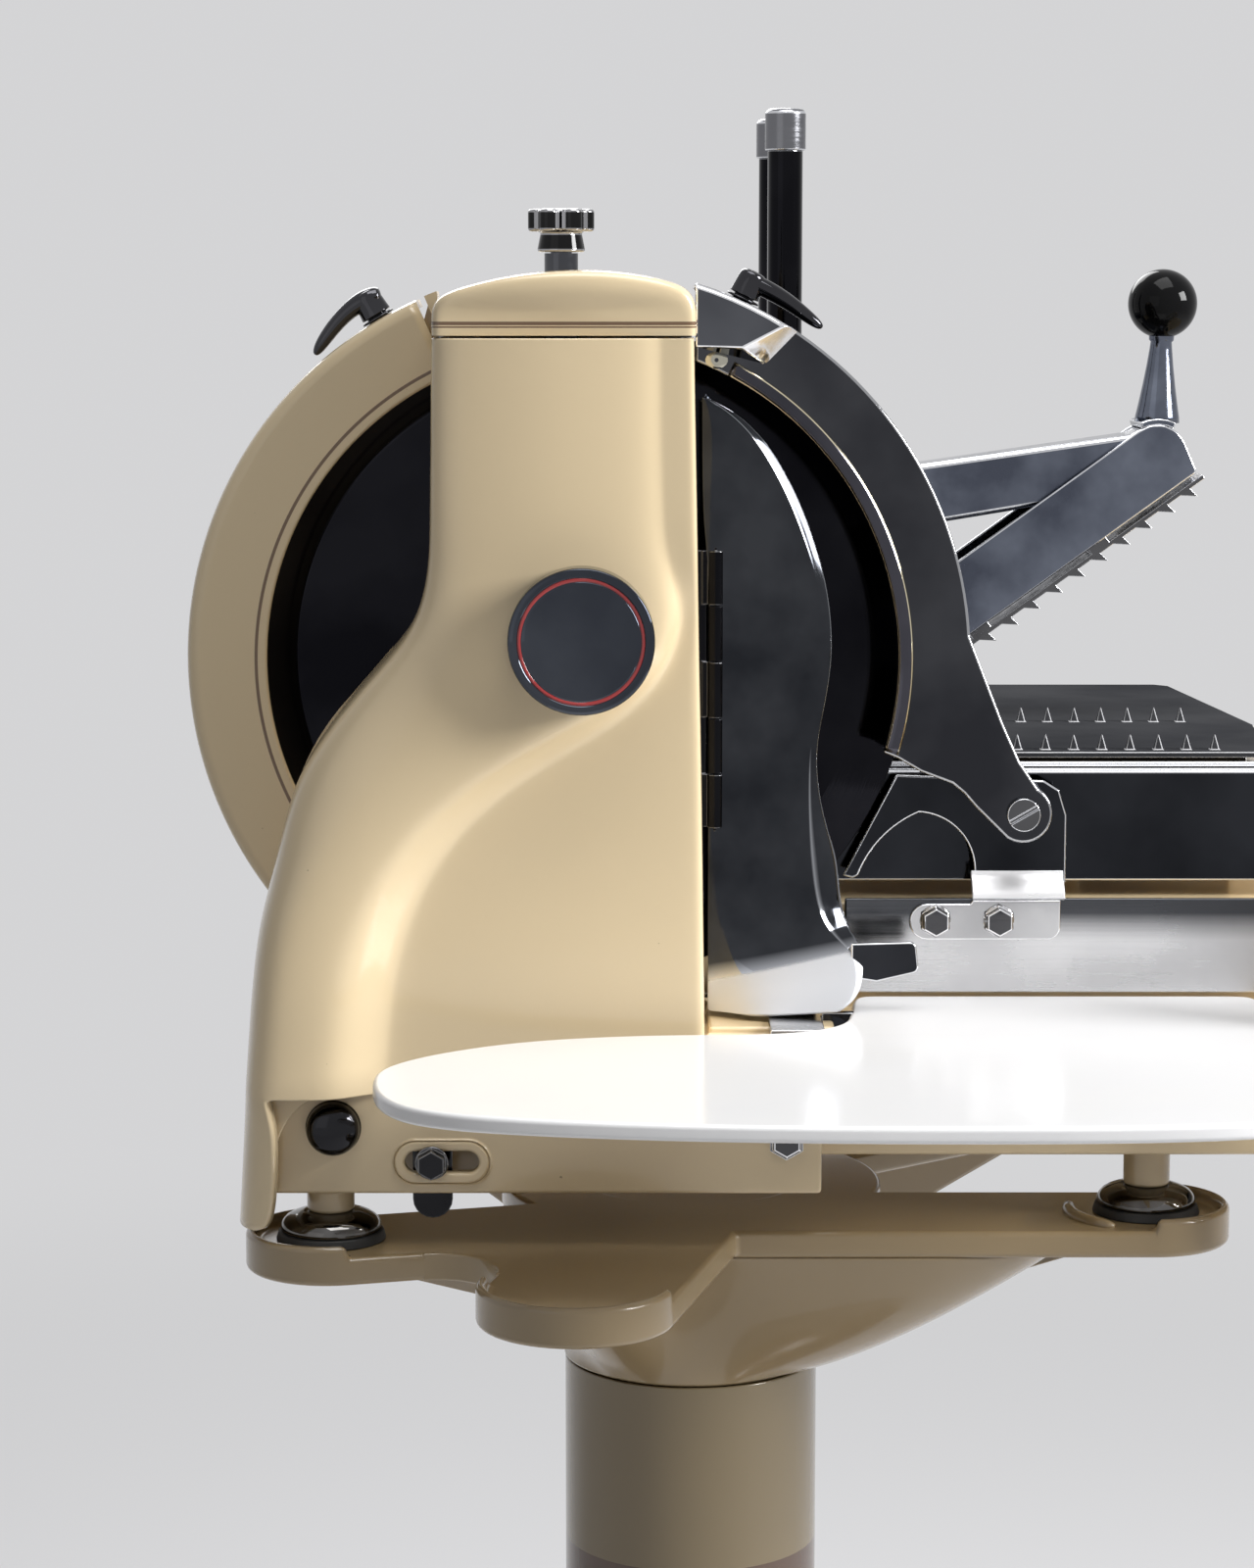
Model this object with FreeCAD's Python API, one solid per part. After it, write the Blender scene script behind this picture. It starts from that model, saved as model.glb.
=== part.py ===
import FreeCAD, Part
import math
import os
from FreeCAD import Vector

os.makedirs("parts", exist_ok=True)

# Flywheel meat slicer on its pedestal, in millimetres.
# +Z is up, +X is the way the carriage draws back, +Y points away from the operator.
# The origin is on the floor, on the axis of the pedestal's column.
# Heights of the slicer itself are measured from the pads on top of the pedestal.

# Fits
seat_gap = 0.03
run_gap = 0.05
face_gap = 0.5

# Pedestal
pad_z = 790.0
column_r = 68.0
column_wall = 4.0
seam_drop = 97.0
base_r = 245.0
base_flange = 14.0
base_h = 150.0
base_collar_r = 84.0
ledge_z = 40.0
floor_bolt_circle_r = 210.0
floor_bolt_r = 6.5
floor_bolts = 4
spigot_len = 40.0
spigot_wall = 7.0

# Head of the pedestal: an arm and a pad for each foot, and a spare lobe in front
arm_half = 43.0
arm_plate = 14.0
rim_h = 6.0
rim_w = 5.0
lobe_x = -59.0
lobe_y = -232.0
lobe_half = 48.0
rib_w = 12.0

# Feet
foot_left_x = -184.0
foot_right_x = 235.0
foot_left_y = -128.0
foot_right_y = -74.0
foot_rear_y = 222.0
foot_lug_top = 84.0
ring_r = 27.8
ring_h = 5.0
dome_r = 25.5
dome_h = 10.0
stem_r = 12.0
foot_boss_r = 16.5

# Knife and its shaft
knife_x = -59.0
knife_lift = 288.0
knife_r = 171.0
knife_flat_r = 145.0
knife_back_y = -50.0
knife_t = 12.0
knife_web_t = 6.0
knife_edge_t = 0.4
knife_hub_r = 58.0
nose_r = 20.0
shaft_r = 12.0
bearing_r = 20.0
bearing_w = 12.0

# Chain drive
pitch = 12.7
roller_r = 3.2
link_w = 1.2
link_half = 4.5
sprocket_w = 4.0
tooth_h = 4.0
tooth_gap = 0.2
small_teeth = 12
big_teeth = 16
upper_links = 47
lower_links = 97
upper_chain_y = -105.0
lower_chain_y = -30.0
idler_r = 11.0

# Bed
bed_left = -211.0
bed_front = -58.0
bed_rear = 205.0
bed_under = 36.0
bed_top = 160.0
bed_wall = 6.0
deck_t = 8.0
shelf_front = -100.0
shelf_top = 104.0
toe_front = -145.0
toe_under = 27.0
toe_right = 62.6
gearcase_left = 430.0
gearcase_right = 545.0
gearcase_front = -105.0
gearcase_wall = 12.0
pocket_left = -182.0
pocket_right = 62.0

# Main shaft, crown wheel and connecting rod
shaft_lift = 118.0
tooth_module = 5.0
pinion_teeth = 12
crown_teeth = 36
pinion_w = 10.0
crown_r = 118.0
crown_lift = 66.0
crown_t = 12.0
crown_shaft_r = 10.0
crank_r = 105.0
crank_pin_r = 8.0
link_len = 383.0
link_lift = 44.0
link_t = 8.0

# Flywheel and crank
wheel_r = 162.0
rim_t = 20.0
wheel_front = -160.0
wheel_w = 28.0
spokes = 6
spoke_r = 9.0
wheel_hub_r = 30.0
grip_circle_r = 128.0
grip_angle = 60.0
grip_r = 15.0
grip_len = 88.0
grip_pin_r = 6.0

# Casing and the cap on it
band_front = -165.0
panel_front = -150.0
casing_back = -70.0
casing_wall = 8.0
casing_top = 451.7
back_plate_t = 4.0
cover_left = -129.0
cover_right = -1.0
cover_bottom = 453.0
cover_back = -26.0
cover_wall = 4.0
cap_x = -56.6
cap_lift = 307.4
cap_disc_r = 35.5
cap_out = 20.0

# Ring guard round the knife
guard_out_r = 199.0
guard_in_r = guard_out_r - 41.0
guard_t = 4.0
left_guard_front = -84.0
left_rim_back = -42.0
right_guard_front = -78.0
right_guard_t = 3.0
right_rim_back = -45.0
swing_in_r = guard_out_r - 37.0
ring_join_x = -0.3
bead_w = 8.0
left_lever_angle = 120.5
right_lever_angle = 65.5
lever_y = -61.5
stud_r = 4.0
pivot_x = 168.0
pivot_lift = 209.0
ear_r = 15.0
pivot_r = 4.0

# Carriage and its rods
rod_r = 9.0
rod_lift = 188.0
rod_front_y = -8.0
rod_rear_y = 160.0
lug_w = 16.0
carriage_left = 30.0
carriage_right = 350.0
carriage_front = -32.0
carriage_rear = 208.0
carriage_top = 220.0
carriage_plate = 8.0
carriage_skirt = 170.0
apron_bottom = 168.0
apron_top = 226.0
apron_t = 3.0

# Meat table, thickness feed and press
plate_near = -8.0
plate_left = 34.0
plate_lift = 229.0
plate_t = 3.0
slide_t = 8.7
spike_h = 8.0
spike_r = 2.4
spike_step = 15.0
post_x = 54.0
post_front_y = 150.0
post_rear_y = 290.0
post_r = 9.8
post_top = 574.0
cap_r = 11.4
cap_h = 23.0
feed_x = 250.0
feed_lift = 205.0
feed_r = 6.0
hinge_x = 263.0
hinge_lift = 380.0
jaw_y = 155.0
jaw_len = 152.0
jaw_angle = 36.0
jaw_r = 19.0
jaw_w = 50.0
jaw_wall = 3.5
jaw_pin_r = 5.0
tooth_step = 15.4
arm_w = 36.0
arm_end_r = 18.3
ball_r = 19.4

# Front plates, deflector and tray
front_apron_y = -62.0
front_apron_bottom = 113.0
front_apron_top = 162.6
front_apron_left = 78.0
bracket_y = -54.0
deflector_y = -98.0
deflector_t = 2.5
hinge_pin_x = 10.0
hinge_pin_y = -96.0
hinge_pin_r = 2.0
knuckle_r = 4.0
tray_t = 8.0

# Lower-left fittings
slot_x = -127.0
slot_lift = 43.5
slot_half = 13.0
slot_r = 5.5
tension_x = -132.0
big_bolt_x = -181.0
big_bolt_lift = 61.0

# Centre distances that let both chains close on whole links
spare = 2 * upper_links - small_teeth - big_teeth
bend = 8 / math.pi ** 2 * (big_teeth - small_teeth) ** 2
idler_lift = knife_lift - pitch / 8 * (spare + math.sqrt(spare ** 2 - bend))
lower_span = pitch * (lower_links - small_teeth) / 2
shaft_x = knife_x + math.sqrt(lower_span ** 2 - (shaft_lift - idler_lift) ** 2)
mid_y = (bed_front + bed_rear) / 2
end_r = (bed_rear - bed_front) / 2


def up(height):
    """Height above the floor of something measured from the pads."""
    return pad_z + height


def box(x0, x1, y0, y1, z0, z1):
    return Part.makeBox(x1 - x0, y1 - y0, z1 - z0, Vector(x0, y0, z0))


def rod_x(y, z, x0, x1, radius):
    return Part.makeCylinder(radius, x1 - x0, Vector(x0, y, z), Vector(1, 0, 0))


def rod_y(x, z, y0, y1, radius):
    return Part.makeCylinder(radius, y1 - y0, Vector(x, y0, z), Vector(0, 1, 0))


def rod_z(x, y, z0, z1, radius):
    return Part.makeCylinder(radius, z1 - z0, Vector(x, y, z0), Vector(0, 0, 1))


def joined(shapes):
    whole = shapes[0].multiFuse(shapes[1:])
    return whole.removeSplitter()


def outline(start, steps, place):
    """Closed wire of lines, three-point arcs and smooth curves in the plane that place gives."""
    edges = []
    here = place(*start)
    for step in steps + [start]:
        if step[0] == "arc":
            end = place(*step[2])
            edges.append(Part.Arc(here, place(*step[1]), end).toShape())
        elif step[0] == "curve":
            points = [here] + [place(*point) for point in step[1]]
            curve = Part.BSplineCurve()
            curve.interpolate(points)
            edges.append(curve.toShape())
            end = points[-1]
        else:
            end = place(*step)
            if end.distanceToPoint(here) > 1e-6:
                edges.append(Part.LineSegment(here, end).toShape())
        here = end
    return Part.Wire(edges)


def plate_y(start, steps, y0, y1):
    """Outline in X and height above the pads, as thick as y0 to y1."""
    wire = outline(start, steps, lambda x, h: Vector(x, y0, up(h)))
    return Part.Face(wire).extrude(Vector(0, y1 - y0, 0))


def plate_z(start, steps, z0, z1):
    """Outline in X and Y, from z0 up to z1."""
    wire = outline(start, steps, lambda x, y: Vector(x, y, z0))
    return Part.Face(wire).extrude(Vector(0, 0, z1 - z0))


def turned_z(x, y, start, steps):
    """Profile of radius and height, turned about an upright axis."""
    wire = outline(start, steps, lambda r, z: Vector(x + r, y, z))
    return Part.Face(wire).revolve(Vector(x, y, 0), Vector(0, 0, 1), 360)


def turned_y(x, z, start, steps):
    """Profile of radius and Y, turned about an axis along Y."""
    wire = outline(start, steps, lambda r, y: Vector(x + r, y, z))
    return Part.Face(wire).revolve(Vector(x, 0, z), Vector(0, 1, 0), 360)


def ring_point(radius, angle):
    """Point in X and height at a radius and angle round the knife's axis."""
    turn = math.radians(angle)
    return (knife_x + radius * math.cos(turn), knife_lift + radius * math.sin(turn))


def knife_sector(start, steps, angle0, angle1):
    """Profile of radius and Y swept about the knife's axis, angles from +X towards +Z."""
    centre = Vector(knife_x, 0, up(knife_lift))
    wire = outline(start, steps, lambda r, y: Vector(knife_x + r, y, up(knife_lift)))
    face = Part.Face(wire)
    face.rotate(centre, Vector(0, -1, 0), angle0)
    return face.revolve(centre, Vector(0, -1, 0), angle1 - angle0)


parts = {}
feet = [(foot_left_x, foot_left_y), (foot_right_x, foot_right_y),
        (foot_right_x, foot_rear_y), (foot_left_x, foot_rear_y)]


def pedestal_base():
    """Bell-shaped casting with floor bolts and a socket for the column."""
    socket_r = column_r + seat_gap
    inner_r = column_r - column_wall - spigot_wall
    bell = turned_z(0, 0, (inner_r, ledge_z), [
        (socket_r, ledge_z), (socket_r, base_h), (base_collar_r, base_h),
        ("arc", (base_collar_r + 24, 64), (190, base_flange + 4)),
        (base_r - 5, base_flange), (base_r, base_flange - 5), (base_r, 0), (182, 0),
        (140, 24), (socket_r + 4, ledge_z - 12), (inner_r, ledge_z - 12)])
    for i in range(floor_bolts):
        angle = math.radians(45 + 360 / floor_bolts * i)
        x = floor_bolt_circle_r * math.cos(angle)
        y = floor_bolt_circle_r * math.sin(angle)
        bell = bell.cut(rod_z(x, y, -1, base_flange + 30, floor_bolt_r))
    return bell


def pedestal_column():
    """Plain tube from the ledge in the base up to the head."""
    seam_z = up(-seam_drop)
    tube = rod_z(0, 0, ledge_z, seam_z, column_r)
    return tube.cut(rod_z(0, 0, ledge_z, seam_z, column_r - column_wall))


def head_arm(x0, y0, x1, y1, half):
    """Arm with a round, rimmed pad at its far end and a rib below."""
    reach = math.hypot(x1 - x0, y1 - y0)
    bearing = math.degrees(math.atan2(y1 - y0, x1 - x0))
    arm = box(0, reach, -half, half, up(-arm_plate), up(0))
    pad = rod_z(reach, 0, up(-arm_plate), up(0), half)
    rim = rod_z(reach, 0, up(0), up(rim_h), half)
    rim = rim.cut(rod_z(reach, 0, up(0), up(rim_h), half - rim_w))
    rim = rim.cut(box(reach - 2 * half, reach, -half, half, up(0), up(rim_h)))
    rib = outline((0, up(-arm_plate)), [(0, up(-88)), (0.4 * reach, up(-60)), (reach - 12, up(-arm_plate))],
                  lambda r, z: Vector(r, -rib_w / 2, z))
    rib = Part.Face(rib).extrude(Vector(0, rib_w, 0))
    pieces = [arm, pad, rim, rib]
    for piece in pieces:
        piece.rotate(Vector(0, 0, 0), Vector(0, 0, 1), bearing)
        piece.translate(Vector(x0, y0, 0))
    return pieces


def pedestal_head():
    """Hub with a spigot in the column, four arms and a spare lobe."""
    seam_z = up(-seam_drop)
    inner_r = column_r - column_wall - spigot_wall
    spigot_r = column_r - column_wall - seat_gap
    hub = turned_z(0, 0, (inner_r, seam_z - spigot_len), [
        (spigot_r, seam_z - spigot_len), (spigot_r, seam_z), (column_r, seam_z),
        (column_r + 1.5, up(-55)), (column_r + 12, up(-27)), (column_r + 34, up(-arm_plate)),
        (column_r + 34, up(0)), (inner_r, up(0))])
    pieces = [hub]
    pieces += head_arm(20, foot_right_y, foot_right_x, foot_right_y, arm_half)
    pieces += head_arm(-10, -80, foot_left_x, foot_left_y, arm_half)
    pieces += head_arm(10, 40, foot_right_x, foot_rear_y, arm_half)
    pieces += head_arm(-10, 40, foot_left_x, foot_rear_y, arm_half)
    pieces += head_arm(-6, -30, lobe_x, lobe_y, lobe_half)
    bore = rod_z(0, 0, seam_z - spigot_len, up(rim_h), inner_r)
    return joined(pieces).cut(bore)


def foot_domes():
    """Chromed cup under each stem of the bed."""
    top = up(ring_h + dome_h)
    cups = []
    for (x, y) in feet:
        cups.append(turned_z(x, y, (0, up(ring_h)), [
            (dome_r, up(ring_h)), (dome_r - 3, top - 3), (stem_r + 2, top), (0, top)]))
    return Part.makeCompound(cups)


def foot_rings():
    """Rubber ring under each cup."""
    rings = []
    for (x, y) in feet:
        rings.append(turned_z(x, y, (0, up(0)), [
            (ring_r, up(0)), (ring_r - 1.5, up(ring_h)), (0, up(ring_h))]))
    return Part.makeCompound(rings)


def capsule_y(x, lift, half, radius, y0, y1):
    """Upright slab with round ends, lying along X."""
    return plate_y((x - half, lift - radius), [
        (x + half, lift - radius), ("arc", (x + half + radius, lift), (x + half, lift + radius)),
        (x - half, lift + radius), ("arc", (x - half - radius, lift), (x - half, lift - radius))], y0, y1)


def bed():
    """Open-bottomed casting: deck, front shelf, deep toe, gear case and the stems of the feet."""
    deck = up(bed_top - deck_t)
    solid = joined([
        box(bed_left, shaft_x, bed_front, bed_rear, up(bed_under), up(bed_top)),
        rod_z(shaft_x, mid_y, up(bed_under), up(bed_top), end_r),
        box(gearcase_left, gearcase_right, gearcase_front, mid_y, up(bed_under), up(bed_top)),
        box(bed_left, gearcase_left, shelf_front, mid_y, up(bed_under), up(shelf_top)),
        box(bed_left, toe_right, toe_front, mid_y, up(toe_under), up(shelf_top))])
    wall = bed_wall
    hollow = joined([
        box(bed_left + wall, shaft_x, bed_front + wall, bed_rear - wall, up(0), deck),
        rod_z(shaft_x, mid_y, up(0), deck, end_r - wall),
        box(gearcase_left + wall, gearcase_right - wall, gearcase_front + gearcase_wall,
            bed_front - wall, up(0), deck),
        box(bed_left + wall, gearcase_left, shelf_front + wall, bed_front, up(0), up(shelf_top - wall)),
        box(bed_left + wall, toe_right - wall, toe_front + wall, shelf_front, up(0), up(shelf_top - wall))])
    solid = solid.cut(hollow)
    # Pocket for the knife's lower edge, with its own skin inside the bed
    low = knife_lift - knife_r
    pocket = box(pocket_left, pocket_right, bed_front - 8, knife_back_y + 6, up(low - 8), up(bed_top + 5))
    skin = box(pocket_left - wall, pocket_right + wall, bed_front, knife_back_y + 6 + wall,
               up(low - 8 - wall), deck)
    solid = solid.cut(pocket)
    bosses = [skin.cut(pocket)]
    # Lugs that hold the slide rods
    rod_left = bed_left + 2
    rod_right = carriage_right + 38
    for x in (rod_left, rod_right - lug_w):
        for y in (rod_front_y, rod_rear_y):
            bosses.append(box(x, x + lug_w, y - 14, y + 14, up(bed_top), up(rod_lift + rod_r + 5)))
    # Stems of the feet, with bosses inside the front and lugs behind the rear wall
    for (x, y) in feet:
        under = toe_under if y < shelf_front else bed_under
        bosses.append(rod_z(x, y, up(ring_h + dome_h), up(under), stem_r))
        top = foot_lug_top if y > bed_rear else shelf_top - 1
        bosses.append(rod_z(x, y, up(under), up(top), foot_boss_r))
        if y > bed_rear:
            bosses.append(box(x - foot_boss_r, x + foot_boss_r, bed_rear - 3, y, up(under), up(top)))
    # Seat of the deflector's lower end, bearing bosses and the slotted pad
    bosses.append(box(6.5, 70, -126, bed_front, up(bed_under + 40), up(shelf_top + 4)))
    bosses.append(box(gearcase_left + 2, gearcase_right - 2, bed_front - wall, bed_front + wall,
                      up(bed_under), up(bed_top - 2)))
    bosses.append(rod_y(shaft_x, up(shaft_lift), bed_front - wall - 4, bed_front + wall, bearing_r + 8))
    bosses.append(rod_z(shaft_x, mid_y, up(shelf_top - 8), deck, crown_shaft_r + 10))
    bosses.append(rod_y(knife_x, up(idler_lift), shelf_front, bed_front + wall + 8, idler_r + 5))
    bosses.append(capsule_y(slot_x, slot_lift, slot_half, 11, toe_front - 2, toe_front))
    for x in (90, 230):
        bosses.append(box(x - 8, x + 8, -300, shelf_front, up(shelf_top - 8), up(shelf_top)))
    solid = joined([solid] + bosses)
    # Bores
    bores = [rod_x(y, up(rod_lift), rod_left, rod_right, rod_r + seat_gap)
             for y in (rod_front_y, rod_rear_y)]
    bores.append(rod_y(shaft_x, up(shaft_lift), gearcase_front - 1, bed_front + wall + 1, bearing_r + seat_gap))
    bores.append(rod_z(shaft_x, mid_y, up(0), up(bed_top - 5), crown_shaft_r + run_gap))
    bores.append(rod_y(knife_x, up(idler_lift), toe_front + wall, 0, idler_r + run_gap))
    bores.append(capsule_y(slot_x, slot_lift, slot_half, slot_r, toe_front - 3, toe_front + wall + 1))
    bores.append(box(-40, 230, mid_y - 16, mid_y + 16, deck - 1, up(bed_top + 1)))
    clear_r = big_pitch_r + link_half + 4
    bores.append(rod_y(knife_x, up(idler_lift), toe_front + wall, shelf_front - 0.5, clear_r))
    bores.append(box(knife_x - clear_r, knife_x + clear_r, toe_front + wall, shelf_front - 0.5,
                     up(idler_lift), up(shelf_top + 1)))
    for bore in bores:
        solid = solid.cut(bore)
    return solid.removeSplitter()


def casing_left(shift, foot):
    """Left edge of the casing from the top down, moved in by shift."""
    return [(-131 + shift, 334), ("arc", (-138.5 + shift, 315), (-155 + shift, 293)), (-176.7 + shift, 268),
            ("arc", (-198 + shift, 237), (-210 + shift, 193)),
            ("arc", (-219.4 + shift, 158), (-224 + shift, 100)), (-229.8 + shift + foot, 12)]


def casing_prism(y0, y1):
    """Whole front outline of the casing, with its arched lower edge."""
    steps = casing_left(0, 0) + [(-222, 12), (-216, 68), ("arc", (-213.5, 77), (-206, 80)),
                                 (4.6, 80), (-2, casing_top)]
    return plate_y((-130, casing_top), steps, y0, y1)


def main_casing():
    """Hollow casting in front of the knife, open below and behind."""
    shell = casing_prism(band_front, casing_back)
    panel = plate_y((0.6, 337), [
        ("arc", (-11, 312), (-27, 282)), ("arc", (-96, 243), (-157.4, 177)),
        ("arc", (-168.5, 132), (-173.3, 70)), (12, 70), (12, 337)], band_front - 1, panel_front)
    steps = casing_left(casing_wall, 0)[:-1] + [(-217.5, 60), (20, 60), (20, shelf_top),
                                               (-4, shelf_top), (-10, casing_top - casing_wall)]
    hollow = plate_y((-122, casing_top - casing_wall), steps, toe_front, casing_back + 1)
    chest = box(-121, -11, band_front + casing_wall, toe_front, up(345), up(casing_top - casing_wall))
    boss = rod_y(knife_x, up(knife_lift), toe_front - 1, toe_front + 27, bearing_r + 8)
    seat = rod_y(knife_x, up(knife_lift), toe_front + 15, toe_front + 28, bearing_r + seat_gap)
    bore = rod_y(knife_x, up(knife_lift), toe_front + 8, toe_front + 28, shaft_r + 2)
    lip = box(-124, -6, -160, -75, up(casing_top - 1), up(cover_bottom + 3))
    lip = lip.cut(box(-120, -10, -156, -79, up(casing_top - 1), up(cover_bottom + 3)))
    guide = rod_z(sharpener_x, sharpener_y, up(400), up(casing_top + 1), sharpener_r + run_gap)
    shell = joined([shell.cut(panel).cut(hollow).cut(chest), boss, lip])
    return shell.cut(seat).cut(bore).cut(guide)


def casing_back_plate():
    """Plate behind the casing with the knife's rear bearing and the wedge beside the cap."""
    steps = casing_left(0, 0)[:-1] + [(4.1, 100), (-2, casing_top)]
    plate = plate_y((-130, casing_top), steps, casing_back, casing_back + back_plate_t)
    plate = plate.cut(box(-300, 100, casing_back - 1, casing_back + 9, up(90), up(shelf_top)))
    boss = rod_y(knife_x, up(knife_lift), casing_back - 22, casing_back + 1, bearing_r + 8)
    seat = rod_y(knife_x, up(knife_lift), casing_back - 23, casing_back - 4, bearing_r + seat_gap)
    bore = rod_y(knife_x, up(knife_lift), casing_back - 23, casing_back + 9, shaft_r + 2)
    wedge = knife_sector((guard_in_r, left_guard_front), [
        (guard_out_r, left_guard_front), (guard_out_r, casing_back + 4), (guard_in_r, casing_back + 4)],
        110.9, 112.8)
    wedge = wedge.cut(casing_prism(band_front, casing_back))
    wedge = wedge.cut(box(cover_left - 0.4, 100, -200, 0, up(400), up(500)))
    ear = plate_y((-129.6, 436), [(-139, 452), (-134.4, 468.6), (cover_left - 0.4, 472), (cover_left - 0.4, 436)],
                  casing_back, casing_back + back_plate_t)
    return joined([plate, boss, ear, wedge]).cut(seat).cut(bore)


def top_cover():
    """Hollow cap with a crowned top over the knife's upper edge."""
    edge = [(cover_left, 466), ("arc", (-126, 471.5), (-119, 474.5)), ("arc", (-62, 486.8), (-11, 478.5)),
            ("arc", (-4, 475.5), (cover_right, 469)), (cover_right, cover_bottom)]
    cap = plate_y((cover_left, cover_bottom), edge, band_front, cover_back)
    wall = cover_wall
    inner = [(cover_left + wall, 463), ("arc", (-122, 468), (-116, 471)), ("arc", (-62, 482.5), (-14, 474.5)),
             ("arc", (-8, 471.5), (cover_right - wall, 466)), (cover_right - wall, cover_bottom)]
    cap = cap.cut(plate_y((cover_left + wall, cover_bottom), inner, band_front + wall, cover_back - wall))
    return cap.cut(rod_z(sharpener_x, sharpener_y, up(cover_bottom), up(500), sharpener_r + run_gap))


def hub_cap():
    """Polished disc on the front of the casing, with a sunk face."""
    front = band_front - cap_out
    return turned_y(cap_x, up(cap_lift), (0, front + 3), [
        (cap_disc_r - 5, front + 3), (cap_disc_r - 5, front), (cap_disc_r - 1.5, front),
        (cap_disc_r, front + 1.5), (cap_disc_r, band_front), (0, band_front)])


def left_ring_guard():
    """Fixed half of the ring: a front wall and a rim that reaches back past the knife."""
    ring = knife_sector((guard_in_r, left_guard_front), [
        (guard_out_r, left_guard_front), (guard_out_r, left_rim_back),
        (guard_out_r - guard_t, left_rim_back), (guard_out_r - guard_t, left_guard_front + guard_t),
        (guard_in_r, left_guard_front + guard_t)], 113, 218.5)
    ring = ring.cut(casing_prism(band_front, casing_back + back_plate_t))
    return ring.cut(lever_stud(left_lever_angle, stud_r + run_gap))


def right_ring_guard():
    """Swinging half of the ring, with the ear it turns on and a raised start beside the cap."""
    front, back = right_guard_front, right_guard_front + right_guard_t
    top_out = math.degrees(math.acos((ring_join_x - knife_x) / guard_out_r))
    top_in = math.degrees(math.acos((ring_join_x - knife_x) / swing_in_r))
    start_r = guard_out_r - 30.4
    start_angle = math.degrees(math.acos((ring_join_x - knife_x) / start_r))
    wall = plate_y(ring_point(guard_out_r, top_out), [
        ("arc", ring_point(guard_out_r, 38), ring_point(guard_out_r, 3.5)), (157, 256), (166, 236),
        (175.5, 222), ("arc", (181, 201.5), (159.5, 196.7)), (143.6, 212.4), (137.5, 219.5),
        (131.4, 224.6), (115.4, 230.6), (103.3, 237.7), ring_point(swing_in_r, -17),
        ("arc", ring_point(swing_in_r, 30), ring_point(swing_in_r, top_in))], front, back)
    start = plate_y(ring_point(guard_out_r, top_out), [
        ("arc", ring_point(guard_out_r, 66), ring_point(guard_out_r, 60)), ring_point(guard_out_r - 8.7, 57.3),
        ring_point(guard_out_r - 9.1, 59), ring_point(guard_out_r - 23.8, 62.5),
        ring_point(start_r, start_angle)], front - 10, front)
    rim = knife_sector((guard_out_r - right_guard_t, front), [
        (guard_out_r, front), (guard_out_r, right_rim_back), (guard_out_r - right_guard_t, right_rim_back)],
        3.5, top_out)
    boss = rod_y(pivot_x, up(pivot_lift), back, bracket_y - face_gap, ear_r - 5)
    guard = joined([wall, start, rim, boss]).cut(lever_stud(right_lever_angle, stud_r + run_gap))
    return guard.cut(rod_y(pivot_x, up(pivot_lift), front - 1, bracket_y, pivot_r + run_gap))


def guard_bead():
    """Bright lip along the inner edge of the swinging half."""
    y = right_guard_front
    return knife_sector((swing_in_r, y), [(swing_in_r, y - 2), ("arc", (swing_in_r + bead_w / 2, y - 4),
                        (swing_in_r + bead_w, y - 2)), (swing_in_r + bead_w, y)], -16.5, 58)


def tapered(a, b, ra, rb):
    """Cone between two points, a little longer than their distance."""
    axis = b - a
    return Part.makeCone(ra, rb, axis.Length + 1, a, axis)


def lever_stud(angle, radius):
    """Radial stud through the ring's rim, at an angle round the knife's axis."""
    axis = Vector(math.cos(math.radians(angle)), 0, math.sin(math.radians(angle)))
    foot = Vector(knife_x, lever_y, up(knife_lift)) + axis * (guard_out_r - guard_t - 3)
    return Part.makeCylinder(radius, 12, foot, axis)


def clamp_lever(angle, bend, tip):
    """Round hub on a radial stud; the handle's elbow and tip are measured from its foot."""
    y = lever_y
    axis = Vector(math.cos(math.radians(angle)), 0, math.sin(math.radians(angle)))
    base = Vector(knife_x, y, up(knife_lift)) + axis * guard_out_r
    washer = Part.makeCylinder(12, 2, base + axis * 0.5, axis)
    hub = Part.makeCylinder(9, 17, base + axis * 2.5, axis)
    elbow = base + Vector(bend[0], 0, bend[1])
    grip = tapered(base + axis * 13, elbow, 6.5, 5.5)
    end = tapered(elbow, base + Vector(tip[0], 0, tip[1]), 5.5, 4.5)
    return joined([washer, hub, grip, end, lever_stud(angle, stud_r)])


def guard_pivot_screw():
    """Slotted shoulder screw in the ear, tight in the bracket."""
    front = right_guard_front - 0.3
    shank = rod_y(pivot_x, up(pivot_lift), front, bracket_y + 3, pivot_r)
    head = rod_y(pivot_x, up(pivot_lift), front - 4, front, pivot_r + 4.5)
    slot = box(pivot_x - 12, pivot_x + 12, front - 5, front - 2.5, up(pivot_lift - 1), up(pivot_lift + 1))
    slot.rotate(Vector(pivot_x, 0, up(pivot_lift)), Vector(0, 1, 0), -30)
    return joined([shank, head]).cut(slot)


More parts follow.
